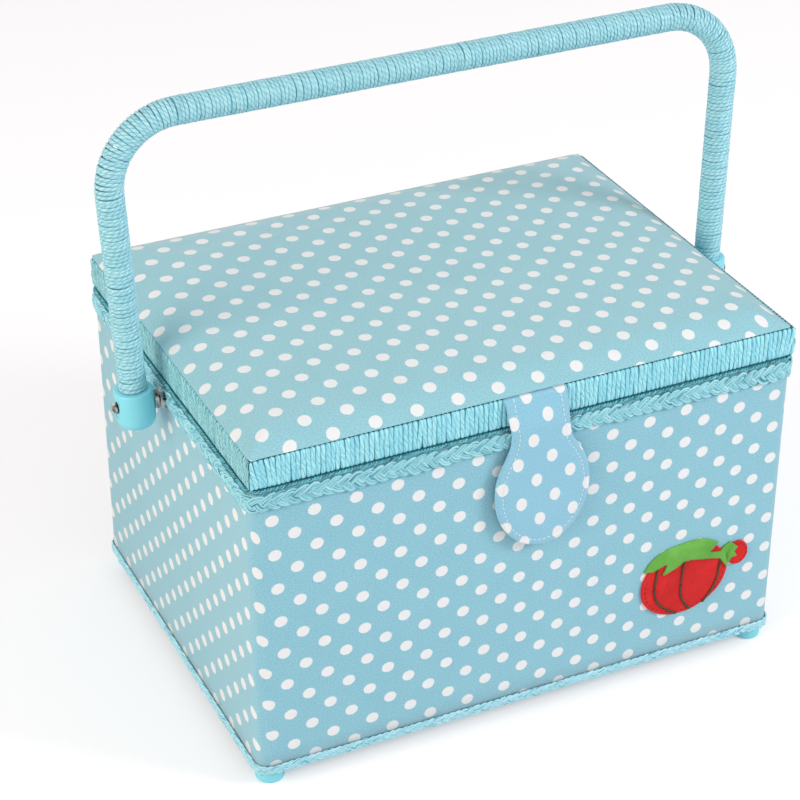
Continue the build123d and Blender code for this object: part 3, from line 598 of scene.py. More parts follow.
class Path:
    """A line through points, open or closed, that gives places by their distance along it."""

    def __init__(self, points, closed):
        self.points = [Vector(p) for p in points]
        if closed:
            self.points.append(self.points[0].copy())
        self.closed = closed
        self.marks = [0.0]
        for before, after in zip(self.points, self.points[1:]):
            self.marks.append(self.marks[-1] + (after - before).length)
        self.length = self.marks[-1]

    def at(self, distance):
        """The place and the direction at a distance."""
        if self.closed:
            distance %= self.length
        distance = clamp(distance, 0.0, self.length - 1e-6)
        k = 0
        while self.marks[k + 1] < distance:
            k += 1
        step = self.points[k + 1] - self.points[k]
        share = (distance - self.marks[k]) / step.length
        return self.points[k] + step * share, step.normalized()


def edge_path(out):
    """The line round the walls, a distance outside them."""
    bm = bmesh.new()
    low = walls_low - Vector((out, out, 0))
    high = walls_high + Vector((out, out, 0))
    face = rounded_rectangle(bm, low, high, 0.0, WALL_CORNER + out, CORNER_STEPS)
    points = [v.co.copy() for v in face.verts]
    bm.free()
    return Path(points, closed=True)


print("round the walls:", round(edge_path(0.0).length), "mm")

# %% [markdown]
# The printed cotton goes round the walls as one sheet, glued to the boards, with its seam in the
# middle of the back. The print was never laid quite square: the rows climb a little and bend a
# little, differently on each side. So the map of the print is a gentle curve in both directions,
# and between two sides it goes over smoothly on the rounded corner.

# %% where the print lies
FRONT_PRINT = (
    (6.086, 8.840, 0.587, 0.065, -0.064, -0.094),
    (-11.203, -0.771, 9.973, -0.120, 0.107, -0.139),
)
LEFT_PRINT = (
    (-17.741, -8.367, 0.755, -0.034, -0.088, -0.321),
    (-10.481, -0.005, 9.988, -0.171, -0.034, -0.320),
)
LID_PRINT = (
    (0.664, 8.833, 0.197, 0.075, 0.040, 0.013, 0.006, 0.011, -0.141, -0.095),
    (1.247, -0.154, 9.158, -0.002, 0.070, 0.114, 0.007, 0.019, -0.039, -0.044),
)
TAB_PRINT = ((-1.557, 9.987, 1.042), (-12.536, -0.535, 7.935))
PRINT_UNIT = 100
BEYOND_FRONT = 11.4
BEYOND_LEFT = 11.9


def laid(coefficients, a, b):
    """Cells of the print at two distances on a flat side, in millimetres."""
    a, b = a / PRINT_UNIT, b / PRINT_UNIT
    terms = (1.0, a, b, a * a, a * b, b * b, a**3, a * a * b, a * b * b, b**3)
    return Vector([sum(c * t for c, t in zip(row, terms)) for row in coefficients])


def wall_print(x, y, z, from_left):
    """Cells of the print on the walls. The cloth's two ends meet in the middle of the back."""
    half_x, half_y = walls_high.x - WALL_CORNER, walls_high.y - WALL_CORNER
    arc = WALL_CORNER * math.pi / 2
    dx, dy = abs(x) - half_x, abs(y) - half_y
    share = math.atan2(max(dx, 0.0), max(dy, 1e-9)) / (math.pi / 2)
    if y < 0 and dx <= 0:
        return laid(FRONT_PRINT, x, z)
    if x < 0 and y < half_y:
        if dy <= 0:
            return laid(LEFT_PRINT, y, z)
        front, left = laid(FRONT_PRINT, -half_x, z), laid(LEFT_PRINT, -half_y, z)
        return front.lerp(left, share)
    if not from_left:
        beyond = arc * share if y < 0 else arc + y + half_y
        if y < 0 and dy <= 0:
            beyond = arc + y + half_y
        if y > half_y:
            beyond = arc + 2 * half_y + arc * (1 - share) if dx > 0 else 2 * (arc + half_y) + half_x - x
        return laid(FRONT_PRINT, half_x, z) + Vector((beyond / BEYOND_FRONT, 0.0))
    beyond = arc * (1 - share) if dx > 0 else arc + half_x + x
    return laid(LEFT_PRINT, half_y, z) - Vector((beyond / BEYOND_LEFT, 0.0))


# %% the cloth on the walls
CLOTH_ROWS = 12
LONG_EDGE = 50.0


def wall_cloth():
    """The sheet round the walls, raised from the rounded rectangle in rows."""
    bm = bmesh.new()
    face = rounded_rectangle(bm, walls_low, walls_high, walls_low.z, WALL_CORNER, CORNER_STEPS)
    long_ones = [e for e in face.edges if e.calc_length() > LONG_EDGE]
    bmesh.ops.delete(bm, geom=[face], context="FACES_ONLY")
    bmesh.ops.subdivide_edges(bm, edges=long_ones, cuts=15)
    edges = list(bm.edges)
    for _ in range(CLOTH_ROWS):
        edges = pull_edges(bm, edges, (0, 0, (walls_high.z - walls_low.z) / CLOTH_ROWS))[1]
    face_outwards(bm, lambda face: face.calc_center_median() * Vector((1, 1, 0)))
    lay_map(bm, "cells", lambda co, face: wall_print(*co, face.calc_center_median().x < 0))
    return bm


cloth = make_piece("wall_cloth", wall_cloth(), "box", wall_cotton, ["outer_cover"])
add_thickness(cloth, 0.6, -1.0)
around = edge_path(0.0).length * MM

# %% [markdown]
# A plait of three strands: each strand swings up and down and, twice as fast, in and out, a third
# of a turn after the one before it. That makes it go over one neighbour and under the other. The
# strands are three thin cords each, curves with an oval section, and the plait closes on itself.

# %% plaits
def oval_section(wide, thick, points):
    """A flat oval that a strand is drawn with."""
    bm = bmesh.new()
    bmesh.ops.create_circle(bm, segments=points, radius=1.0)
    outline = [v.co.copy() for v in bm.verts]
    bm.free()
    curve = bpy.data.curves.new("section", "CURVE")
    line = curve.splines.new("POLY")
    line.points.add(points - 1)
    for point, co in zip(line.points, outline):
        point.co = (co.x * thick / 2 * MM, co.y * wide / 2 * MM, 0, 1)
    line.use_cyclic_u = True
    return new_object("section", curve)


def strand_mesh(points, section, number, closed=True, resolution=2):
    """The mesh of one strand through points in millimetres, with its number on every vertex."""
    curve = bpy.data.curves.new("strand", "CURVE")
    curve.dimensions = "3D"
    curve.twist_mode = "Z_UP"
    curve.bevel_mode = "OBJECT"
    curve.bevel_object = section
    curve.use_fill_caps = not closed
    curve.resolution_u = resolution
    line = curve.splines.new("NURBS")
    line.points.add(len(points) - 1)
    for point, co in zip(line.points, points):
        point.co = (*(co * MM), 1)
    line.use_cyclic_u = closed
    line.use_endpoint_u = not closed
    line.order_u = 3
    holder = new_object("strand", curve)
    graph = bpy.context.evaluated_depsgraph_get()
    graph.update()
    mesh = bpy.data.meshes.new_from_object(holder.evaluated_get(graph))
    bpy.data.objects.remove(holder)
    values = mesh.attributes.new("strand", "FLOAT", "POINT")
    values.data.foreach_set("value", [number] * len(mesh.vertices))
    return mesh


def strands(lines, wide, thick, points, length, **how):
    """One bmesh, in millimetres, of strands along numbered lines, with a map that runs along them."""
    section = oval_section(wide, thick, points)
    bm = bmesh.new()
    for line, number in lines:
        mesh = strand_mesh(line, section, number, **how)
        bm.from_mesh(mesh)
        bpy.data.meshes.remove(mesh)
    bpy.data.objects.remove(section)
    resize(bm, 1 / MM)
    along = bm.loops.layers.uv.new("along")
    given = bm.loops.layers.uv[0]
    for face in bm.faces:
        for loop in face.loops:
            u, v = loop[given].uv
            loop[along].uv = (v * 2.0, u * length)
    return bm


PLAIT_STEPS = 8
CORD_OVERLAP = 1.12
UPWARDS = Vector((0, 0, 1))


def plait(z, tall, deep, repeat, strand_wide, strand_thick, wobble, resolution):
    """A plait of three strands round the box, each strand three cords side by side."""
    path = edge_path(deep / 2)
    repeats = round(path.length / repeat)
    swing, bulge = (tall - strand_wide) / 2, (deep - strand_thick) / 2
    lines = []
    for k in range(3):
        cords = [[], [], []]
        for n in range(repeats * PLAIT_STEPS):
            angle = 2 * math.pi * (n / PLAIT_STEPS + k / 3)
            place, ahead = path.at(path.length * n / (repeats * PLAIT_STEPS))
            outwards = ahead.cross(UPWARDS)
            reach = swing * 1.25 * (1 + wobble * random.uniform(-1, 1))
            place = place + outwards * bulge * math.sin(2 * angle)
            place.z = z + reach * math.sin(angle)
            climb = reach * math.cos(angle) * 2 * math.pi / repeat
            across = (UPWARDS - climb * ahead).normalized() * strand_wide / 3
            for cord, side in zip(cords, (-1, 0, 1)):
                cord.append(place + across * side + outwards * 0.25 * random.uniform(-1, 1))
        lines += [(cord, (0.1 + 0.3 * k + 0.4 * j) % 1.0) for j, cord in enumerate(cords)]
    cord_wide = strand_wide / 3 * CORD_OVERLAP
    return strands(lines, cord_wide, strand_thick, 6, path.length / 2.2, resolution=resolution)


plaits = (
    ("top_plait", "top_braid", plait_cord, (18.0, 4.4, 1.25, 0.28, 2)),
    ("foot_plait", "base_braid", foot_cord, (12.0, 2.7, 1.2, 0.10, 1)),
)
for name, node, finish, sizes in plaits:
    low, high = span(node)
    bm = plait((low.z + high.z) / 2, high.z - low.z, high.y - walls_high.y, *sizes)
    make_piece(name, bm, "box", finish, [node])

# %% [markdown]
# Under the lid runs a thin dark cord of two plies, laid on the top edge of the walls, where the lid
# comes down on it. Two strands that turn round a common line make it.

# %% twisted edge cord
PLY_STEPS = 5
TAPE_IN = 0.7
TAPE_CORNER = WALL_CORNER - 0.4


def twisted_cord(path, radius, lay, strand_radius, z):
    """Two plies that turn round a path."""
    turns = round(path.length / lay)
    lines = []
    for ply in range(2):
        points = []
        for n in range(turns * PLY_STEPS):
            angle = 2 * math.pi * (n / PLY_STEPS + ply / 2)
            place, ahead = path.at(path.length * n / (turns * PLY_STEPS))
            outwards = ahead.cross(UPWARDS)
            place = place + outwards * radius * math.cos(angle)
            place.z = z + radius * math.sin(angle)
            points.append(place)
        lines.append((points, 0.3 + 0.5 * ply))
    return strands(lines, strand_radius * 2, strand_radius * 2, 6, path.length / 2)


def edge_tape(low, high, wide):
    """A folded tape over the top edge of the walls."""
    bm = bmesh.new()
    face = rounded_rectangle(bm, low, high, low.z, TAPE_CORNER, CORNER_STEPS)
    top = raise_faces(bm, [face], (0, 0, high.z - low.z))
    bmesh.ops.inset_region(bm, faces=top, thickness=wide, use_even_offset=True)
    raise_faces(bm, top, (0, 0, low.z - high.z))
    flat = [f for f in bm.faces if len(f.verts) > 4]
    bmesh.ops.delete(bm, geom=flat, context="FACES_ONLY")
    bmesh.ops.recalc_face_normals(bm, faces=bm.faces)
    return bm


edge_low, edge_high = span("edge_binding")
low, high = edge_low + Vector((TAPE_IN, TAPE_IN, -0.6)), edge_high - Vector((TAPE_IN, TAPE_IN, 0.3))
# the tape's dark colour is painted shade: it fills the strip between the rim's underside and the twisted
# cord
make_piece("edge_tape", edge_tape(low, high, 5.2), "box", tape_cotton_painted_shade)
bm = twisted_cord(edge_path(0.35), radius=0.62, lay=3.4, strand_radius=0.58, z=edge_high.z - 0.5)
make_piece("edge_twist", bm, "box", edge_cord, ["edge_binding"])

# %% [markdown]
# The lid's rim is four wooden rails with cord wound round them, turn beside turn. One turn is a
# loop of edges that is pulled sideways in four steps, its middle rows raised, so that it is
# rounded like a cord. Hundreds of turns follow, so each has only a few dozen faces. Every turn
# gets its own number, a slightly different height and a slightly different slant.

# %% one turn of cord
TURN_STEPS = ((0.17, 0.72), (0.33, 1.0), (0.33, 0.72), (0.17, 0.0))
MAP_RADIUS = 6


def turn_of_cord(outline, width, height):
    """A mesh of one turn round an outline in the YZ plane, spread along X."""
    bm = bmesh.new()
    outline(bm)
    first = list(bm.verts)
    edges = list(bm.edges)
    middle = sum((v.co for v in first), Vector()) / len(first)
    sizes = Vector([max(v.co[k] for v in first) - min(v.co[k] for v in first) for k in range(3)])
    bmesh.ops.translate(bm, vec=(-width / 2, 0, 0), verts=first)
    before = Vector((1, 1, 1))
    for move, rise in TURN_STEPS:
        fresh, edges = pull_edges(bm, edges, (move * width, 0, 0))
        grown = Vector((1, 1 + 2 * height * rise / sizes.y, 1 + 2 * height * rise / sizes.z))
        change = Vector([a / b for a, b in zip(grown, before)])
        bmesh.ops.scale(bm, vec=change, space=Matrix.Translation(-middle), verts=fresh)
        before = grown
    face_outwards(bm, lambda face: face.calc_center_median() - middle)

    def unrolled(co, face):
        """How far across the turn and how far round it, without a jump inside a face."""
        angle, base = (
            math.atan2(spot.y - middle.y, spot.z - middle.z) for spot in (co, face.calc_center_median())
        )
        angle += 2 * math.pi * round((base - angle) / (2 * math.pi))
        return co.x / width, angle * MAP_RADIUS

    lay_map(bm, "along", unrolled)
    return mesh_of(bm, "turn")


def wind(turn, places):
    """Copies of one turn, each moved by its own matrix and given its own number."""
    bm = bmesh.new()
    strand = bm.verts.layers.float.new("strand")
    for place in places:
        before = len(bm.verts)
        bm.from_mesh(turn)
        bm.verts.ensure_lookup_table()
        fresh = bm.verts[before:]
        bmesh.ops.transform(bm, matrix=place, verts=fresh)
        number = random.random()
        for vert in fresh:
            vert[strand] = number
    bpy.data.meshes.remove(turn)
    return bm


# %% the wound rim
CORD_HEIGHT = 0.85
SHIFT = 0.15
SWELL = 0.022
SLANT_SPREAD = 1.3
LEAN_SPREAD = 1.5
RIM_TURN = 2.7
RIM_OVERLAP = 1.14
RIM_CORNER = 1.5
MITRE = 0.35
FAN_RUN = 20.0
FAN_SLANT = 17.0
WANDER = Vector((0.45, 0, 0))
WANDER_SIZE = (3.1, 3.1, 5.5)
PAD_SINKS = 1.7
CORD_RISES = 0.7
rim_low, rim_high = span("lid_wrap_front")
RIM_REST = rim_high.z - PAD_SINKS
rim_depth = rim_high.y - rim_low.y
rim_tall = RIM_REST + CORD_RISES - rim_low.z
half_long, half_deep = span("lid_wrap_right")[1].x, span("lid_wrap_back")[1].y


def rail_outline(bm):
    """The rounded section of a wound rail, seen from its end."""
    high = (rim_depth / 2 - CORD_HEIGHT, rim_tall / 2 - CORD_HEIGHT)
    face = rounded_rectangle(bm, (-high[0], -high[1]), high, 0.0, RIM_CORNER, 3)
    uprights = [e for e in face.edges if abs(e.verts[0].co.y - e.verts[1].co.y) > 8]
    bmesh.ops.delete(bm, geom=[face], context="FACES_ONLY")
    bmesh.ops.subdivide_edges(bm, edges=uprights, cuts=3)
    bmesh.ops.rotate(bm, matrix=Matrix(((0, 0, 1), (1, 0, 0), (0, 1, 0))), verts=bm.verts)


def wound_rail(length, quarter, middle):
    """The winding of one rail, cut at both mitres. The rail points along X before it is turned."""
    turn = turn_of_cord(rail_outline, RIM_TURN * RIM_OVERLAP, CORD_HEIGHT)
    places = []
    count = round(length / RIM_TURN)
    for n in range(count + 1):
        x = -length / 2 + n * length / count + random.uniform(-SHIFT, SHIFT)
        near_end = max(0.0, 1 - (length / 2 - abs(x)) / FAN_RUN) ** 1.5
        slant = math.radians(random.gauss(0, SLANT_SPREAD) + math.copysign(FAN_SLANT, x) * near_end)
        lean = math.radians(random.gauss(0, LEAN_SPREAD))
        swell = 1 + random.uniform(-SWELL, SWELL)
        place = Matrix.Translation((x, 0, 0)) @ Matrix.Rotation(slant, 4, "Y")
        place = place @ Matrix.Rotation(lean, 4, "Z") @ Matrix.Diagonal((1, swell, 1, 1))
        places.append(place)
    bm = wind(turn, places)
    for vert in bm.verts:
        # turns wander to and fro a little, as they do by hand
        spot = Vector([c / size for c, size in zip(vert.co, WANDER_SIZE)])
        vert.co += WANDER * noise.noise(spot)
    for side in (-1, 1):
        # the mitre runs at 45 degrees from the outer corner of the rim
        corner = Vector((side * (length / 2 - MITRE), -rim_depth / 2, 0))
        cut_through(bm, corner, Vector((side, 1, 0)).normalized(), clear_outer=True)
    turned = Matrix.Rotation(quarter * math.pi / 2, 4, "Z")
    bmesh.ops.transform(bm, matrix=Matrix.Translation(middle) @ turned, verts=bm.verts)
    return bm


rim_z = rim_low.z + rim_tall / 2
rails = (
    ("front", 2 * half_long, 0, (0, -half_deep + rim_depth / 2, rim_z)),
    ("right", 2 * half_deep, 1, (half_long - rim_depth / 2, 0, rim_z)),
    ("back", 2 * half_long, 2, (0, half_deep - rim_depth / 2, rim_z)),
    ("left", 2 * half_deep, 3, (-half_long + rim_depth / 2, 0, rim_z)),
)
for side, length, quarter, middle in rails:
    bm = wound_rail(length, quarter, Vector(middle))
    # the left and right rails take the darker copy of the cord, which is painted shade
    finish = side_cord_painted_shade if side in ("left", "right") else rim_cord
    make_piece("rim_winding_" + side, bm, "lid", finish, ["lid_wrap_" + side])

# %% [markdown]
# The handle is a bent tube with the same cord wound round it. Its middle line is four points with
# the two upper ones bevelled to arcs. Every turn stands square to that line, with a small slant,
# because a winding always climbs a little as it goes.

# %% the middle line of the handle
WRAP_RADIUS = 7.7
BEND = 38.0
LEG_TAPER = 6.0
tube_high = span("handle_wrap")[1]
socket_low, socket_high = span("socket_left")
bolt_low, bolt_high = span("pivot_bolts")
pivot_z = (bolt_low.z + bolt_high.z) / 2
leg_foot = (socket_low.x + socket_high.x) / 2
leg_head = leg_foot - LEG_TAPER
handle_top = tube_high.z - WRAP_RADIUS
handle_back = tube_high.y - WRAP_RADIUS
lean = math.atan2(handle_back, handle_top - pivot_z)


def handle_line():
    """The middle line, from the left socket over the top to the right one."""
    bm = bmesh.new()
    rise = (handle_top - pivot_z) / math.cos(lean)
    corners = [(leg_foot, 0), (leg_head, rise), (-leg_head, rise), (-leg_foot, 0)]
    verts = [bm.verts.new((x, 0, z)) for x, z in corners]
    for one, other in zip(verts, verts[1:]):
        bm.edges.new((one, other))
    tangent = BEND * math.tan(math.pi / 4 + math.atan2(leg_foot - leg_head, rise) / 2)
    bevel(bm, verts[1:3], tangent, 16, "VERTICES")
    bm.verts.ensure_lookup_table()
    ends = [v for v in bm.verts if len(v.link_edges) == 1]
    here = min(ends, key=lambda v: v.co.x)
    points, edge = [here.co.copy()], None
    while True:
        ahead = [e for e in here.link_edges if e is not edge]
        if not ahead:
            break
        edge = ahead[0]
        here = edge.other_vert(here)
        points.append(here.co.copy())
    bm.free()
    tilt = Matrix.Translation((0, 0, pivot_z)) @ Matrix.Rotation(-lean, 4, "X")
    return Path([tilt @ p for p in points], closed=False)


handle_path = handle_line()
print("handle line", round(handle_path.length), "mm with", len(handle_path.points), "points")

# %% the wound handle
TURN = 2.1
OVERLAP = 1.18
IN_SOCKET = 3.0
CLIMB = 4.0


def round_outline(bm):
    """The round section of the tube, seen from its end."""
    bmesh.ops.create_circle(bm, segments=20, radius=WRAP_RADIUS - CORD_HEIGHT)
    bmesh.ops.rotate(bm, matrix=Matrix.Rotation(math.pi / 2, 3, "Y"), verts=bm.verts)


def wound_handle():
    """Turns of cord from socket to socket."""
    turn = turn_of_cord(round_outline, TURN * OVERLAP, CORD_HEIGHT)
    start = socket_high.z - pivot_z - IN_SOCKET
    length = handle_path.length - 2 * start
    count = round(length / TURN)
    places = []
    for n in range(count + 1):
        place, ahead = handle_path.at(start + n * length / count + random.uniform(-0.08, 0.08))
        frame_of_turn = ahead.to_track_quat("X", "Y").to_matrix().to_4x4()
        slant = Matrix.Rotation(math.radians(CLIMB + random.gauss(0, 1.0)), 4, "Y")
        wobble = Matrix.Rotation(math.radians(random.gauss(0, 1.0)), 4, "Z")
        swell = 1 + random.uniform(-0.010, 0.010)
        size = Matrix.Diagonal((1, swell, swell, 1))
        places.append(Matrix.Translation(place) @ frame_of_turn @ slant @ wobble @ size)
    return wind(turn, places)


make_piece("handle_winding", wound_handle(), "handle", handle_cord, ["handle_wrap"])

# %% [markdown]
# The handle hangs on two bolts. Each has a small domed head outside the socket and its plain end
# inside the box. A bolt is a row of rings along one line: a circle that is pulled along and
# scaled, step by step.

# %% the pivot bolts
SHANK = 2.95
BLUNT_END = 2.3
DOMED_HEAD = ((0.0, 0.6), (0.25, 1.9), (0.8, 2.75), (1.6, 3.3), (2.1, 3.3), (2.1, SHANK))


def bolt(bm, side):
    """One bolt, from its head at the outside to its end inside the box."""
    head = bolt_high.x
    tip = min(abs(v.co.x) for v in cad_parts["pivot_bolts"].data.vertices) / MM
    rings = DOMED_HEAD + ((head - tip - 1, SHANK), (head - tip, BLUNT_END))
    before = len(bm.verts)
    ring = bmesh.ops.create_circle(bm, cap_ends=True, segments=20, radius=rings[0][1])["verts"]
    edges = [e for e in bm.edges if e.verts[0] in ring]
    for (depth, radius), (depth_before, radius_before) in zip(rings[1:], rings):
        verts, edges = pull_edges(bm, edges, (0, 0, depth - depth_before))
        wider = radius / radius_before
        bmesh.ops.scale(bm, vec=(wider, wider, 1), verts=verts)
    bmesh.ops.contextual_create(bm, geom=edges)
    bm.verts.ensure_lookup_table()
    fresh = bm.verts[before:]
    bmesh.ops.rotate(bm, matrix=Matrix.Rotation(-side * math.pi / 2, 3, "Y"), verts=fresh)
    bmesh.ops.translate(bm, vec=(side * head, (bolt_low.y + bolt_high.y) / 2, pivot_z), verts=fresh)


bm = bmesh.new()
for side in (-1, 1):
    bolt(bm, side)
bmesh.ops.recalc_face_normals(bm, faces=bm.faces)
make_piece("bolts", bm, "pivots", steel_painted_reflections, ["pivot_bolts"])

# %% [markdown]
# The lid is stuffed: a foam slab under cotton, pulled tight over the panel. It crowns in the middle
# and swells over the rim as far as its outer edge. It starts as two blocks, a foot on the panel
# and a wider slab. A voxel remesh makes one skin of even faces of them. It is pressed down towards
# its edges, and the cloth solver blows it up with its underside pinned. How far a point may go is
# limited, and where the cotton lies on the rim it may hardly move.

# %% the slab before it is stuffed
pad_low, pad_high = span("pad_cover")
SLAB_TOP = pad_high.z - 2.2
OVERHANG_LOW = Vector((-half_long - 0.3, -half_deep - 0.3, RIM_REST))
OVERHANG_HIGH = Vector((half_long - 2.0, half_deep + 0.5, SLAB_TOP))
EDGE_ROUND = 2.0
SLOPE_RUN = 25.0
SLOPE_RISE = 9.0


def from_edge(x, y):
    """Distances from the pad's nearer left or right edge and from its nearer front or back edge."""
    return min(x - OVERHANG_LOW.x, OVERHANG_HIGH.x - x), min(y - OVERHANG_LOW.y, OVERHANG_HIGH.y - y)


def block(bm, low, high, corner):
    """A block with rounded upright edges."""
    face = rounded_rectangle(bm, low, high, low.z, corner, 3)
    raise_faces(bm, [face], (0, 0, high.z - low.z))


def slab():
    """A foot on the lid's panel and a wider slab that lies on the rim."""
    bm = bmesh.new()
    block(bm, pad_low, Vector((pad_high.x, pad_high.y, SLAB_TOP - 1)), 2.0)
    block(bm, OVERHANG_LOW, OVERHANG_HIGH, 1.5)
    top_edges = [e for e in bm.edges if all(abs(v.co.z - SLAB_TOP) < 0.01 for v in e.verts)]
    bevel(bm, top_edges, EDGE_ROUND, 2)
    bmesh.ops.recalc_face_normals(bm, faces=bm.faces)
    return bm


lid_pad = make_piece("lid_pad", slab(), "lid", lid_cotton_painted_sheen, ["pad_cover", "pad_foam"])

# %% stuffing the lid
VOXEL = 3.0
EDGE_FOOT = RIM_REST + 1.0
FRAMES = 20
FURTHEST = 1.6 * MM
HIGHEST = 1.0 * MM
CROWN_RUN = 70.0
remesh = lid_pad.modifiers.new("even faces", "REMESH")
remesh.mode = "VOXEL"
remesh.voxel_size = VOXEL * MM
settle(lid_pad)
for vert in lid_pad.data.vertices:
    x, y, z = vert.co / MM
    short = max(1 - min(from_edge(x, y)) / SLOPE_RUN, 0.0)
    vert.co.z -= max(z - EDGE_FOOT, 0.0) * short * short * MM
start = [v.co.copy() for v in lid_pad.data.vertices]
pins = lid_pad.vertex_groups.new(name="pins")
pins.add([v.index for v in lid_pad.data.vertices if v.co.z < (pad_low.z + 1.5) * MM], 1.0, "REPLACE")
stuffing = lid_pad.modifiers.new("stuffing", "CLOTH")
settings = stuffing.settings
settings.quality = 5
settings.use_pressure = True
settings.uniform_pressure_force = 4.0
settings.effector_weights.gravity = 0.0
settings.vertex_group_mass = "pins"
settings.tension_stiffness = 25.0
settings.compression_stiffness = 25.0
for number in range(1, FRAMES + 1):
    scene.frame_set(number)
settle(lid_pad)
scene.frame_set(1)

crown = pad_high.z - SLAB_TOP
moves = []
for vert, old in zip(lid_pad.data.vertices, start):
    x, y, z = old / MM
    off_rim = clamp((z - RIM_REST) / 2)
    share = clamp(min(from_edge(x, y)) / CROWN_RUN)
    dome = crown * math.sin(share * math.pi / 2) * clamp((z - RIM_REST) / 4)
    move = vert.co - old
    if move.length > FURTHEST:
        move *= FURTHEST / move.length
    move.x *= off_rim
    move.y *= off_rim
    move.z = min(move.z, HIGHEST) * off_rim + dome * MM
    vert.co = old + move
    moves.append(move.length / MM)
print("stuffed: points moved up to", round(max(moves), 1), "mm")

# %% [markdown]
# The skin is made finer and smoothed. Then its slope is lowered, so that near the edges it falls
# along one curve, which fades out further in. The print is laid last. It follows the cotton down
# the slope, where more cloth lies than shows from above, and it is pulled out at three corners.

# %% smoothing the lid and lowering its slope
FADE_RUN = 0.6
FADE_TO = 1.6
finer = lid_pad.modifiers.new("smooth cloth", "SUBSURF")
finer.levels = finer.render_levels = 1
settle(lid_pad)
bm = bmesh.new()
bm.from_mesh(lid_pad.data)
bmesh.ops.smooth_vert(bm, verts=bm.verts, factor=0.5, use_axis_x=True, use_axis_y=True, use_axis_z=True)
resize(bm, 1 / MM)
for vert in bm.verts:
    if abs(vert.co.x) > pad_high.x + 0.8 or abs(vert.co.y) > pad_high.y + 0.8:
        vert.co.z = max(vert.co.z, RIM_REST)
    gap = max(min(from_edge(vert.co.x, vert.co.y)), 0.0)
    slope = EDGE_FOOT + SLOPE_RISE * (1 - max(1 - gap / SLOPE_RUN, 0.0) ** 2)
    if gap < SLOPE_RUN * FADE_TO:
        fade = min((SLOPE_RUN * FADE_TO - gap) / (SLOPE_RUN * FADE_RUN), 1.0)
        vert.co.z -= max(vert.co.z - slope, 0.0) * fade

# %% the print on the lid
CORNER_RUN = 30.0
CORNER_PULL = {(-1, -1): (0.148, 0.454), (1, -1): (0.346, 1.281), (1, 1): (-0.039, 0.764)}
MORE_CLOTH = 2.1
LONGEST_FALL = 4.0


def pad_print(co, face):
    """The print on the lid. It follows the cloth down the slope, and is pulled out at the corners."""
    fall = clamp(EDGE_FOOT + 0.5 - co.z, 0.0, LONGEST_FALL)
    extra = [
        MORE_CLOTH * max(1 - gap / SLOPE_RUN, 0.0) ** 3 + fall * max(1 - gap / 2, 0.0)
        for gap in from_edge(co.x, co.y)
    ]
    x, y = (c + math.copysign(more, c) for c, more in zip(co.xy, extra))
    place = laid(LID_PRINT, x, y)
    for (side_x, side_y), pull in CORNER_PULL.items():
        gaps = half_long - side_x * x, half_deep - side_y * y
        place += math.prod(max(1 - gap / CORNER_RUN, 0.0) for gap in gaps) * Vector(pull)
    return place


bm.normal_update()
lay_map(bm, "cells", pad_print)
resize(bm, MM)
bm.to_mesh(lid_pad.data)
bm.free()
lid_pad.data.shade_smooth()
top = max(v.co.z for v in lid_pad.data.vertices) / MM
print("lid pad:", len(lid_pad.data.polygons), "faces, top at", round(top, 1))

# %% [markdown]
# The tab is a card between two cloths, sewn round its edge. Its neck runs on over the rim and is
# sewn under the pad. Its outline is taken from the frame's own front cloth: the faces that look
# forwards are kept as one face. The neck is made longer, and the face is inset again and again,
# each time a little higher or lower, which gives the rounded edge, the valley of the seam and the
# soft middle. Only then does the neck lean back, get thinner and go level under the pad, so that
# cloth, print and stitches bend as one.

# %% taking an outline from the frame
FORWARD = Vector((0, -1, 0))


def outline_of(node):
    """One flat face with the outline of a frame part, as it shows from the front."""
    bm = bmesh.new()
    bm.from_mesh(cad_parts[node].data)
    resize(bm, 1 / MM)
    bmesh.ops.remove_doubles(bm, verts=bm.verts, dist=0.01)
    bm.normal_update()
    others = [f for f in bm.faces if f.normal.dot(FORWARD) < 0.9]
    bmesh.ops.delete(bm, geom=others, context="FACES")
    foremost = max(f.calc_center_median().dot(FORWARD) for f in bm.faces)
    behind = [f for f in bm.faces if f.calc_center_median().dot(FORWARD) < foremost - 0.3]
    bmesh.ops.delete(bm, geom=behind, context="FACES")
    bmesh.ops.dissolve_faces(bm, faces=bm.faces[:], use_verts=False)
    return bm


def biggest(bm):
    """The face with the largest area."""
    return max(bm.faces, key=lambda f: f.calc_area())


def inset_in_steps(bm, steps):
    """Insets the biggest face again and again, by a width and a rise each time."""
    for width, rise in steps:
        bmesh.ops.inset_region(
            bm, faces=[biggest(bm)], thickness=width, depth=rise, use_even_offset=True, use_boundary=True
        )


# %% the bend over the rim
tab_low, tab_high = span("tab_front_cover")
tab_rear = span("tab_back_cover")[1].y
fold_y = (tab_low.y + tab_rear) / 2
LEAN_FROM = 189.0
LEAN = math.radians(11.5)
STEP = 0.25
THIN = 0.62
NECK_RUN = 25.0
TAB_LEAN = math.radians(4.5)


def neck_line():
    """Places and leans of the neck's middle, at even steps: upright, leaning back, then level."""
    line, y, z = [], fold_y, LEAN_FROM
    while len(line) * STEP < NECK_RUN + 2:
        run = len(line) * STEP
        over = clamp(z - RIM_REST + 1.0)
        lean = max(LEAN * min(run / 4, 1.0) + (math.pi / 2 - LEAN) * over, line[-1][2] if line else 0.0)
        line.append((y, z, lean))
        y += STEP * math.sin(lean)
        z += STEP * math.cos(lean)
    return line


NECK = neck_line()
print("the neck goes level at", [round(n, 1) for n in NECK[-1]], "after", len(NECK) * STEP, "mm")


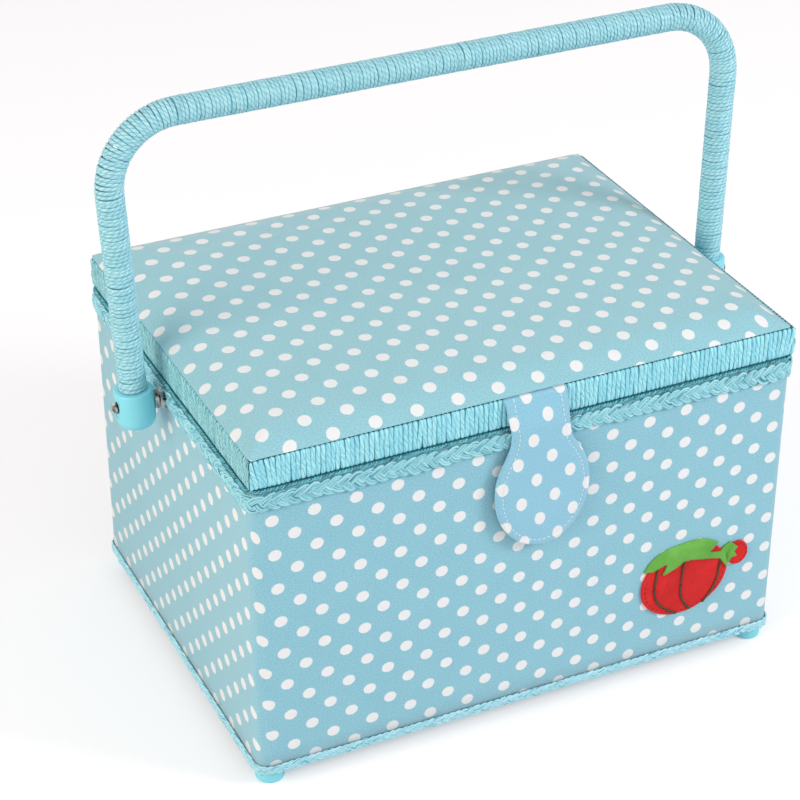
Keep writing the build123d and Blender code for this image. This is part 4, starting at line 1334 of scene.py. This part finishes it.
def over_the_rim(co):
    """Where a point of the flat tab goes when its neck leans back and bends over the rim."""
    beyond = co.z - LEAN_FROM
    if beyond <= 0:
        return co
    k = min(int(beyond / STEP), len(NECK) - 2)
    rest = beyond / STEP - k
    y, z, lean = (a + (b - a) * rest for a, b in zip(NECK[k], NECK[k + 1]))
    lift = (fold_y - co.y) * (1 - THIN * min(beyond / 16, 1.0))
    return Vector((co.x, y - lift * math.cos(lean), z + lift * math.sin(lean)))


def bend(bm):
    """Bends everything in a bmesh over the rim."""
    for vert in bm.verts:
        vert.co = over_the_rim(vert.co)


# %% the tab's front cloth
FRONT_EDGE = ((0.2, 1.25), (0.25, 0.55), (0.45, 0.35), (0.8, 0.15), (1.6, 0.07), (0.5, -0.14))
SOFT_MIDDLE = ((0.5, 0.16), (1.6, 0.22), (2.5, 0.15))
LEFT_WAIST = (2.4, 185, 13)
RIGHT_WAIST = (1.2, 180, 8)
NECK_OUT_FROM, NECK_OUT_OVER = 195, 12
NECK_ROWS = 34
NECK_ROW = 0.75


def waist(height, amount, middle, reach):
    """How far the outline comes in at a height, most at the middle."""
    return amount * math.exp(-(((height - middle) / reach) ** 2))


def tab_outline(y):
    """The flat outline of the tab with its whole neck, at one depth."""
    bm = outline_of("tab_front_cover")
    for vert in bm.verts:
        height = vert.co.z
        if vert.co.x < 0:
            vert.co.x += waist(height, *LEFT_WAIST)
        else:
            outwards = clamp((height - NECK_OUT_FROM) / NECK_OUT_OVER)
            vert.co.x += outwards - waist(height, *RIGHT_WAIST)
        if height > tab_high.z - 3:
            rise = LEAN_FROM + NECK_RUN - height
            vert.co += Vector((-rise * math.tan(TAB_LEAN), 0, rise))
        vert.co.y = y
    bmesh.ops.remove_doubles(bm, verts=bm.verts, dist=0.6)
    return bm


def cut_the_neck(bm):
    """Cuts the neck into short rows, so that it can bend."""
    for n in range(NECK_ROWS):
        cut_through(bm, (0, 0, LEAN_FROM + n * NECK_ROW), UPWARDS)
    bmesh.ops.triangulate(bm, faces=[biggest(bm)])
    bm.normal_update()


bm = tab_outline(tab_low.y + 2.35)
inset_in_steps(bm, FRONT_EDGE)
seam_line = [v.co.copy() for v in biggest(bm).verts]
inset_in_steps(bm, SOFT_MIDDLE)
cut_the_neck(bm)
face_outwards(bm, lambda face: FORWARD)
lay_map(bm, "cells", lambda co, face: laid(TAB_PRINT, co.x, co.z))
bend(bm)
tab_front = make_piece(
    "tab_front", bm, None, tab_cotton, ["tab_front_cover", "tab_anchor", "tab_core"]
)
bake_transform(tab_front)
print("tab outline has", len(seam_line), "points")

# %% the tab's back cloth
BACK_EDGE = (
    (0.2, 0.4), (0.35, 0.25), (0.7, 0.15), (1.7, 0.0), (0.5, -0.12), (0.5, 0.12), (2.0, 0.05)
)
bm = tab_outline(tab_low.y + 2.3)
bm.normal_update()
if biggest(bm).normal.y < 0:
    bmesh.ops.reverse_faces(bm, faces=bm.faces)
inset_in_steps(bm, BACK_EDGE)
cut_the_neck(bm)
bend(bm)
tab_back = make_piece("tab_back", bm, None, blue_cotton, ["tab_back_cover"])
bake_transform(tab_back)

# %% [markdown]
# Stitches are short rounded bits of thread that follow a line with gaps between them. One bit is
# a small sphere that is pulled long, and it is repeated along the line.

# %% rows of stitches
def stitch(length, thick):
    """One stitch along X."""
    bm = bmesh.new()
    bmesh.ops.create_uvsphere(bm, u_segments=6, v_segments=5, radius=0.5)
    bmesh.ops.rotate(bm, matrix=Matrix.Rotation(math.pi / 2, 3, "Y"), verts=bm.verts)
    bmesh.ops.scale(bm, vec=(length, thick, thick), verts=bm.verts)
    lay_map(bm, "along", lambda co, face: (co.y / thick, co.x))
    return mesh_of(bm, "stitch")


def sew(path, length, gap, thick, lift, untidy):
    """Stitches along a line on the front, standing out by a lift."""
    count = max(1, round(path.length / (length + gap)))
    places = []
    for n in range(count):
        place, ahead = path.at((n + 0.5) * path.length / count)
        turned = Matrix.Rotation(-math.atan2(ahead.z, ahead.x), 4, "Y")
        off = Matrix.Rotation(math.radians(random.uniform(-untidy, untidy)), 4, "Y")
        places.append(Matrix.Translation(place + FORWARD * lift) @ turned @ off)
    return wind(stitch(length, thick), places)


# The seam's points start anywhere on the ring. The line is made to start and end at the neck.
STITCH_END = LEAN_FROM + 19.5
up_the_neck = Vector((-math.tan(TAB_LEAN), 0, 1.0))
sewn = [p for p in seam_line if p.z < LEAN_FROM + NECK_RUN - 6]
turn_at = max(range(len(sewn)), key=lambda k: (sewn[k] - sewn[k - 1]).length if k else 0.0)
ring = sewn[turn_at:] + sewn[:turn_at] if (sewn[0] - sewn[-1]).length < 20 else sewn
first, last = (end + up_the_neck * (STITCH_END - end.z) for end in (ring[0], ring[-1]))
bm = sew(Path([first, *ring, last], closed=False), length=1.9, gap=0.9, thick=0.52, lift=0.12, untidy=3.0)
bend(bm)
tab_stitches = make_piece("tab_stitches", bm, None, white_thread)
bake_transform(tab_stitches)

# %% [markdown]
# The ornament on the front is cut from felt: a tomato, a small berry and one green piece of
# leaves, stalk and cap. Felt is thick and has no weave. Each outline is raised, its front edge is
# rounded, and a voxel remesh turns it into small even faces. These can then be pressed down where
# the leaves leave the tomato and lie on the wall, and roughened a little everywhere.

# %% felt
wall_front = walls_low.y
tomato_low, tomato_high = span("felt_tomato")
berry_low, berry_high = span("felt_berry")
FELT = 1.5
PRESSED = 0.93
TILT = math.radians(7)


def inside(co, low, high, tilt):
    """How far a point is inside a tilted oval: 1 well inside, 0 outside."""
    middle = (low + high) / 2
    x, z = co.x - middle.x, co.z - middle.z
    u, v = x * math.cos(tilt) + z * math.sin(tilt), z * math.cos(tilt) - x * math.sin(tilt)
    reach = (u / ((high.x - low.x) / 2)) ** 2 + (v / ((high.z - low.z) / 2)) ** 2
    return clamp((1.02 - reach) / 0.12)


def felt_piece(name, bm, material, node, lies_on=lambda co: 0.0):
    """A cut of felt from one forward face, pressed down on what is under it."""
    bmesh.ops.translate(bm, vec=(0, wall_front - bm.verts[:][0].co.y, 0), verts=bm.verts)
    raise_faces(bm, bm.faces[:], FORWARD * FELT)
    front = [e for e in bm.edges if all(abs(v.co.y - wall_front + FELT) < 0.01 for v in e.verts)]
    bevel(bm, front, 0.35, 2, clamp_overlap=True)
    bmesh.ops.recalc_face_normals(bm, faces=bm.faces)
    piece = make_piece(name, bm, "box", material, [node])
    even = piece.modifiers.new("even faces", "REMESH")
    even.mode = "VOXEL"
    even.voxel_size = 0.55 * MM
    settle(piece)
    for vert in piece.data.vertices:
        co = vert.co / MM
        fuzz = noise.noise(co / 1.6) * 0.12 + noise.noise(co / 7.0) * 0.2
        depth = lies_on(co) * FELT * PRESSED + fuzz * clamp((wall_front - co.y) / FELT)
        vert.co = (co + FORWARD * depth) * MM
    piece.data.shade_smooth()
    return piece


def on_the_fruit(co):
    """How much of the thickness of the tomato and the berry lies under a point of the leaves."""
    return max(inside(co, tomato_low, tomato_high, TILT), inside(co, berry_low, berry_high, 0.0))


def face_from(corners):
    """One forward face from corners that are given as X and Z."""
    bm = bmesh.new()
    bm.faces.new([bm.verts.new((x, wall_front, z)) for x, z in corners])
    return bm


felt_piece("tomato", outline_of("felt_tomato"), red_felt, "felt_tomato")
felt_piece("berry", outline_of("felt_berry"), red_felt, "felt_berry")
leaf_cut = (
    (72.4, 71.4), (74.4, 75.6), (77.6, 79.2), (82.4, 82.2), (88.6, 84.0), (95.0, 84.6), (101.0, 85.2),
    (107.4, 85.0), (113.6, 83.2), (120.8, 79.0), (116.8, 77.6), (113.6, 75.0), (118.4, 74.0),
    (122.2, 73.4), (124.2, 75.4), (128.2, 77.2), (132.8, 73.4), (130.2, 71.2), (132.4, 67.4),
    (128.4, 67.2), (126.6, 60.8), (123.6, 65.0), (121.0, 68.8), (114.0, 70.6), (101.6, 73.2),
    (97.6, 73.6), (93.2, 70.8), (88.6, 69.2), (83.4, 67.6), (85.4, 71.4), (86.2, 75.0),
    (81.4, 73.6), (77.0, 72.0),
)
felt_piece("leaves", face_from(leaf_cut), green_felt, "felt_leaves", on_the_fruit)
print("felt pieces are", FELT, "mm thick")

# %% [markdown]
# Three dark cords are sewn over the tomato from top to bottom, and a running stitch in dark red
# follows the edge of both fruits. The cords start under the leaves.

# %% embroidery on the felt
SEAM_LIFT = 0.42
STITCH_LIFT = 0.12
seams = []
seam_lines = (
    ((81.4, 76.0), (80.0, 68.0), (79.2, 59.0), (80.6, 50.6), (86.6, 43.6), (94.2, 38.6)),
    ((98.6, 76.5), (97.2, 68.0), (96.4, 58.0), (97.0, 49.0), (100.0, 43.0), (103.4, 39.2)),
    ((122.0, 70.0), (121.4, 62.0), (120.4, 55.0), (117.0, 47.6), (111.6, 41.0)),
)
for n, corners in enumerate(seam_lines):
    line = [Vector((x, wall_front - FELT - SEAM_LIFT, z)) for x, z in corners]
    seams.append((line, 0.25 + 0.25 * n))
bm = strands(seams, 1.35, 0.8, 8, 14.0, closed=False, resolution=8)
make_piece("tomato_seams", bm, "box", brown_thread)


def oval_line(low, high, tilt, inset):
    """A closed line inside a tilted oval on the face of the felt."""
    bm = bmesh.new()
    bmesh.ops.create_circle(bm, segments=40, radius=1.0)
    bmesh.ops.rotate(bm, matrix=Matrix.Rotation(math.pi / 2, 3, "X"), verts=bm.verts)
    half = (high - low) / 2
    bmesh.ops.scale(bm, vec=(half.x - inset, 1, half.z - inset), verts=bm.verts)
    bmesh.ops.rotate(bm, matrix=Matrix.Rotation(-tilt, 3, "Y"), verts=bm.verts)
    middle = (low + high) / 2
    points = [v.co + Vector((middle.x, wall_front - FELT - STITCH_LIFT, middle.z)) for v in bm.verts]
    bm.free()
    return Path(points, closed=True)


on_felt = {"thick": 0.5, "lift": 0.0, "untidy": 8.0}
bm = sew(oval_line(tomato_low, tomato_high, TILT, 2.2), 1.9, 1.5, **on_felt)
more = mesh_of(sew(oval_line(berry_low, berry_high, 0.0, 1.6), 1.6, 1.3, **on_felt), "more stitches")
bm.from_mesh(more)
bpy.data.meshes.remove(more)
LEAVES_DOWN_TO, LEAVES_OUT_TO = 66.0, 132.0
covered = [v for v in bm.verts if v.co.z > LEAVES_DOWN_TO and v.co.x < LEAVES_OUT_TO]
bmesh.ops.delete(bm, geom=covered, context="VERTS")
make_piece("felt_stitches", bm, "box", red_thread)

# %% [markdown]
# Inside, the box is lined with plain cotton that is glued to the boards: one piece cut as a cross,
# floor and four sides. A flat face is the floor and its edges are pulled up. Glued cloth is never
# quite flat, so the points move in and out by a fraction of a millimetre. The lid's underside and
# the base have sheets of their own.

# %% glued sheets
SQUARE = 12
SIDE_ROWS = 8
RIPPLE_SIZE = 14.0


def cut_in_squares(bm, low, high, size):
    """Cuts everything by upright planes, so that large faces have points to move."""
    for axis in range(2):
        count = round((high[axis] - low[axis]) / size)
        for n in range(1, count):
            at = Vector()
            at[axis] = low[axis] + (high[axis] - low[axis]) * n / count
            cut_through(bm, at, (1 - axis, axis, 0))


def ripple(bm, amount):
    """Moves points along their normals by a slow noise."""
    bm.normal_update()
    for vert in bm.verts:
        vert.co += vert.normal * amount * noise.noise(vert.co / RIPPLE_SIZE)


def glued_sheet(low, high, z, corner, sides=0.0):
    """A flat sheet, with sides pulled up where it lines a box."""
    bm = bmesh.new()
    edges = list(rounded_rectangle(bm, low, high, z, corner, 4).edges)
    for _ in range(SIDE_ROWS if sides else 0):
        edges = pull_edges(bm, edges, (0, 0, sides / SIDE_ROWS))[1]
    cut_in_squares(bm, low, high, SQUARE)
    bmesh.ops.recalc_face_normals(bm, faces=bm.faces)
    return bm


lining_low, lining_high = span("lining")
inset = Vector((0.35, 0.35, 0))
side = lining_high.z - lining_low.z - 0.5
bm = glued_sheet(lining_low + inset, lining_high - inset, lining_low.z + 0.35, 2.0, side)
ripple(bm, 0.12)
lining_cloth = make_piece("lining_cloth", bm, "box", cream_cotton, ["lining"])
add_thickness(lining_cloth, 0.5, 0.0)
for name, node, body, under, finish in (
    ("lid_lining_cloth", "lid_lining", "lid", "lid_panel", cream_cotton),
    ("base_cloth", "base_cover", "box", "base_board", blue_cotton),
):
    low, high = span(node)
    bm = glued_sheet(low, high, (low.z + high.z) / 2, 1.5)
    ripple(bm, 0.08)
    sheet = make_piece(name, bm, body, finish, [node])
    add_thickness(sheet, 0.35, 0.0)

# %% [markdown]
# A gathered pocket is sewn under the lid on three sides, and its open edge is drawn in by an
# elastic band. The cloth is wider than the place it is sewn to, so it stands in folds. The folds
# are deep at the elastic and die out at the seam opposite. A fine grid is moved into that shape.

# %% the pocket in the lid
pocket_low, pocket_high = span("lid_pocket")
FOLDS = 22
SAG = 4.7
FOLD = 0.75


def pocket_depth(x, y, fold):
    """How far the pocket hangs below its seams at a place."""
    across = (x - pocket_low.x) / (pocket_high.x - pocket_low.x)
    along = (y - pocket_low.y) / (pocket_high.y - pocket_low.y)
    side = math.sin(math.pi * clamp(across)) ** 0.5
    back = math.cos(math.pi / 2 * clamp(along)) ** 0.6
    uneven_folds = across * FOLDS + 0.25 * noise.noise(Vector((across * 9, along * 3, 0)))
    wave = math.sin(2 * math.pi * uneven_folds) * fold * (0.15 + 0.85 * (1 - along))
    return side * (SAG * back + wave * min((1 - along) * 5, 1.0))


def hung_strip(low, high, columns, rows, fold, below):
    """A grid that hangs as the pocket does, some way below it."""
    bm = bmesh.new()
    made = bmesh.ops.create_grid(bm, x_segments=columns, y_segments=rows, size=0.5)["verts"]
    bmesh.ops.scale(bm, vec=(high.x - low.x, high.y - low.y, 1), verts=made)
    bmesh.ops.translate(bm, vec=((high.x + low.x) / 2, (high.y + low.y) / 2, 0), verts=made)
    for vert in bm.verts:
        vert.co.z = pocket_high.z - 0.35 - below - pocket_depth(vert.co.x, vert.co.y, fold)
    bmesh.ops.reverse_faces(bm, faces=bm.faces)
    return bm


bm = hung_strip(pocket_low, pocket_high, columns=FOLDS * 8, rows=28, fold=FOLD, below=0.0)
cut_area = sum(f.calc_area() for f in bm.faces)
pocket = make_piece("lid_pocket_cloth", bm, "lid", blue_cotton, ["lid_pocket"])
add_thickness(pocket, 0.4, 0.0)
band_low, band_high = span("pocket_elastic")
bm = hung_strip(band_low, band_high, columns=200, rows=4, fold=0.35, below=0.55)
for vert in bm.verts:
    # the fine ribs of the elastic
    vert.co.z += 0.16 * math.sin(vert.co.x * 2.3) + 0.05
band = make_piece("elastic_band", bm, "lid", cream_cotton, ["pocket_elastic"])
add_thickness(band, 0.5, 0.0)

# %% [markdown]
# Beside the pocket sits a round pincushion of red felt. Six threads pull it in from a button, so it
# swells between them. Half a ball, pressed flat, is its start. Its points come in under each
# thread and round the button.

# %% the pincushion
cushion_low, cushion_high = span("pincushion")
centre = (cushion_low + cushion_high) / 2
CUSHION_FOOT = Vector((centre.x, centre.y, cushion_high.z - 0.1))
CUSHION = (cushion_high.x - cushion_low.x) / 2
TALL = cushion_high.z - cushion_low.z - 0.2
LOBES = 6


def swelling(co):
    """How full the cushion is at a place from its middle: less under a thread and the button."""
    turn = (math.atan2(co.y, co.x) / (2 * math.pi) * LOBES) % 1.0
    under_thread = math.exp(-((min(turn, 1 - turn) / 0.13) ** 2))
    out = co.xy.length / CUSHION
    return 1 - 0.20 * under_thread * min(out * 4, 1.0) - 0.42 * math.exp(-((out / 0.14) ** 2))


def skin_at(co, low):
    """How far down the skin is at a place whose height on a plain ball is known."""
    return -TALL * low**0.75 * swelling(co)


bm = bmesh.new()
bmesh.ops.create_uvsphere(bm, u_segments=72, v_segments=36, radius=CUSHION)
cut = cut_through(bm, (0, 0, 0), UPWARDS, clear_outer=True)
bmesh.ops.contextual_create(bm, geom=only(cut, bmesh.types.BMEdge))
for vert in bm.verts:
    out = vert.co.xy.length / CUSHION
    low = -vert.co.z / CUSHION
    vert.co.z = skin_at(vert.co, low) if low > 0 else 0.0
    pull = 1 - 0.05 * (1 - swelling(vert.co)) / 0.2 * out if out > 0.5 else 1.0
    vert.co = Vector((vert.co.x * pull, vert.co.y * pull, vert.co.z))
bmesh.ops.recalc_face_normals(bm, faces=bm.faces)
bmesh.ops.translate(bm, vec=CUSHION_FOOT, verts=bm.verts)
cushion = make_piece("pincushion_pad", bm, "lid", red_felt, ["pincushion"])

# %% its threads and button
lines = []
for k in range(LOBES):
    angle = 2 * math.pi * k / LOBES
    way = Vector((math.cos(angle), math.sin(angle), 0))
    line = []
    for out in (0.05, 0.15, 0.3, 0.45, 0.6, 0.75, 0.88, 0.955, 0.985):
        spot = way * CUSHION * out * 0.97
        spot.z = skin_at(way * CUSHION * out, math.sqrt(1 - out * out)) - 0.12
        line.append(spot + CUSHION_FOOT)
    lines.append((line, 0.15 * k))
bm = strands(lines, 0.9, 0.7, 6, 16.0, closed=False, resolution=3)
button = bmesh.ops.create_uvsphere(bm, u_segments=20, v_segments=10, radius=3.4)["verts"]
bmesh.ops.scale(bm, vec=(1, 1, 0.32), verts=button)
bmesh.ops.translate(bm, vec=(centre.x, centre.y, cushion_high.z - TALL * 0.62 - 0.3), verts=button)
make_piece("pincushion_threads", bm, "lid", green_felt)

# %% [markdown]
# Every frame part that still shows gets its finish by name. The parts keep their shape, and only
# the slots on their objects change.

# %% finishes of the frame's own parts
finishes = {
    grey_board: ["front_board", "back_board", "left_board", "right_board", "base_board", "lid_panel"],
    pale_wood: ["tray_ledges"],
    # the rails' dark colour is painted shade in the gaps of the winding
    rail_wood_painted_shade: ["lid_rail_front", "lid_rail_back", "lid_rail_left", "lid_rail_right"],
    blue_plastic: ["feet", "socket_left", "socket_right"],
    tray_plastic: ["tray"],
    bright_steel: [
        "foot_screws", "hinge_lower_screws", "hinge_upper_screws", "snap_plate", "snap_magnet",
        "handle_tube",
    ],
    steel_painted_reflections: ["wall_washers", "wall_nuts", "socket_nuts"],
    hinge_brass: ["hinge_lower_leaves", "hinge_upper_leaves", "hinge_pins"],
}
for material, names in finishes.items():
    for name in names:
        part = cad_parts[name]
        if not part.data.materials:
            part.data.materials.append(material)
        for place in part.material_slots:
            place.link = "OBJECT"
            place.material = material
finished = sum(finishes.values(), [])
bare = [n for n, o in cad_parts.items() if not o.hide_render and n not in finished]
print("frame parts without a finish:", bare)

# %% [markdown]
# The box stands on a plain white floor. The camera sees that floor as white, apart from the
# object's own shadow, while the light on the object stays at a plain level.

# %% the floor
FLOOR_SHADE = 0.76
FLOOR_GLOW = 0.34
bm = bmesh.new()
bmesh.ops.create_grid(bm, x_segments=1, y_segments=1, size=5.0)
floor_mesh = mesh_of(bm, "floor")
floor_paint, tree, shader = new_material("floor_paint", Roughness=0.9, Specular_IOR_Level=0.0)
shader.inputs["Base Color"].default_value = (*(FLOOR_SHADE * tint for tint in (1.03, 1.005, 1.02)), 1.0)
shader.inputs["Emission Color"].default_value = (1.0, 1.0, 1.0, 1.0)
glow = calc(tree, "MULTIPLY", add(tree, "LightPath").outputs["Is Camera Ray"], FLOOR_GLOW)
plug(tree, glow, shader.inputs["Emission Strength"])
floor_mesh.materials.append(floor_paint)
floor = new_object("floor", floor_mesh)

# %% the lamps and the sky
def lamp(name, place, size, power, colour, aim=(0.0, 0.0, 0.12)):
    """A square soft lamp that faces the box."""
    light = bpy.data.lights.new(name, "AREA")
    light.color = colour
    light.size = size
    light.energy = power
    holder = new_object(name, light)
    holder.location = place
    holder.rotation_euler = (Vector(place) - Vector(aim)).to_track_quat("Z", "Y").to_euler()


lamp("key", (1.45, -1.25, 1.15), 0.6, 20.0, (1.0, 1.0, 1.0))
lamp("fill", (-1.9, -0.5, 0.9), 1.4, 23.0, (1.0, 0.900, 0.765))
sky = bpy.data.worlds.new("sky")
scene.world = sky
sky.use_nodes = True
tree = sky.node_tree
tree.nodes.clear()
path_kind = add(tree, "LightPath")
plain = add(tree, "Background", {"Color": (0.98, 0.98, 1.0, 1.0), "Strength": 0.62})
white = add(tree, "Background", {"Color": (1.0, 1.0, 1.0, 1.0), "Strength": 1.0})
seen = calc(tree, "MAXIMUM", path_kind.outputs["Is Camera Ray"], path_kind.outputs["Is Glossy Ray"])
choice = add(tree, "MixShader", {0: seen, 1: plain.outputs[0], 2: white.outputs[0]})
add(tree, "OutputWorld", {"Surface": choice.outputs[0]})
scene.view_settings.view_transform = "Standard"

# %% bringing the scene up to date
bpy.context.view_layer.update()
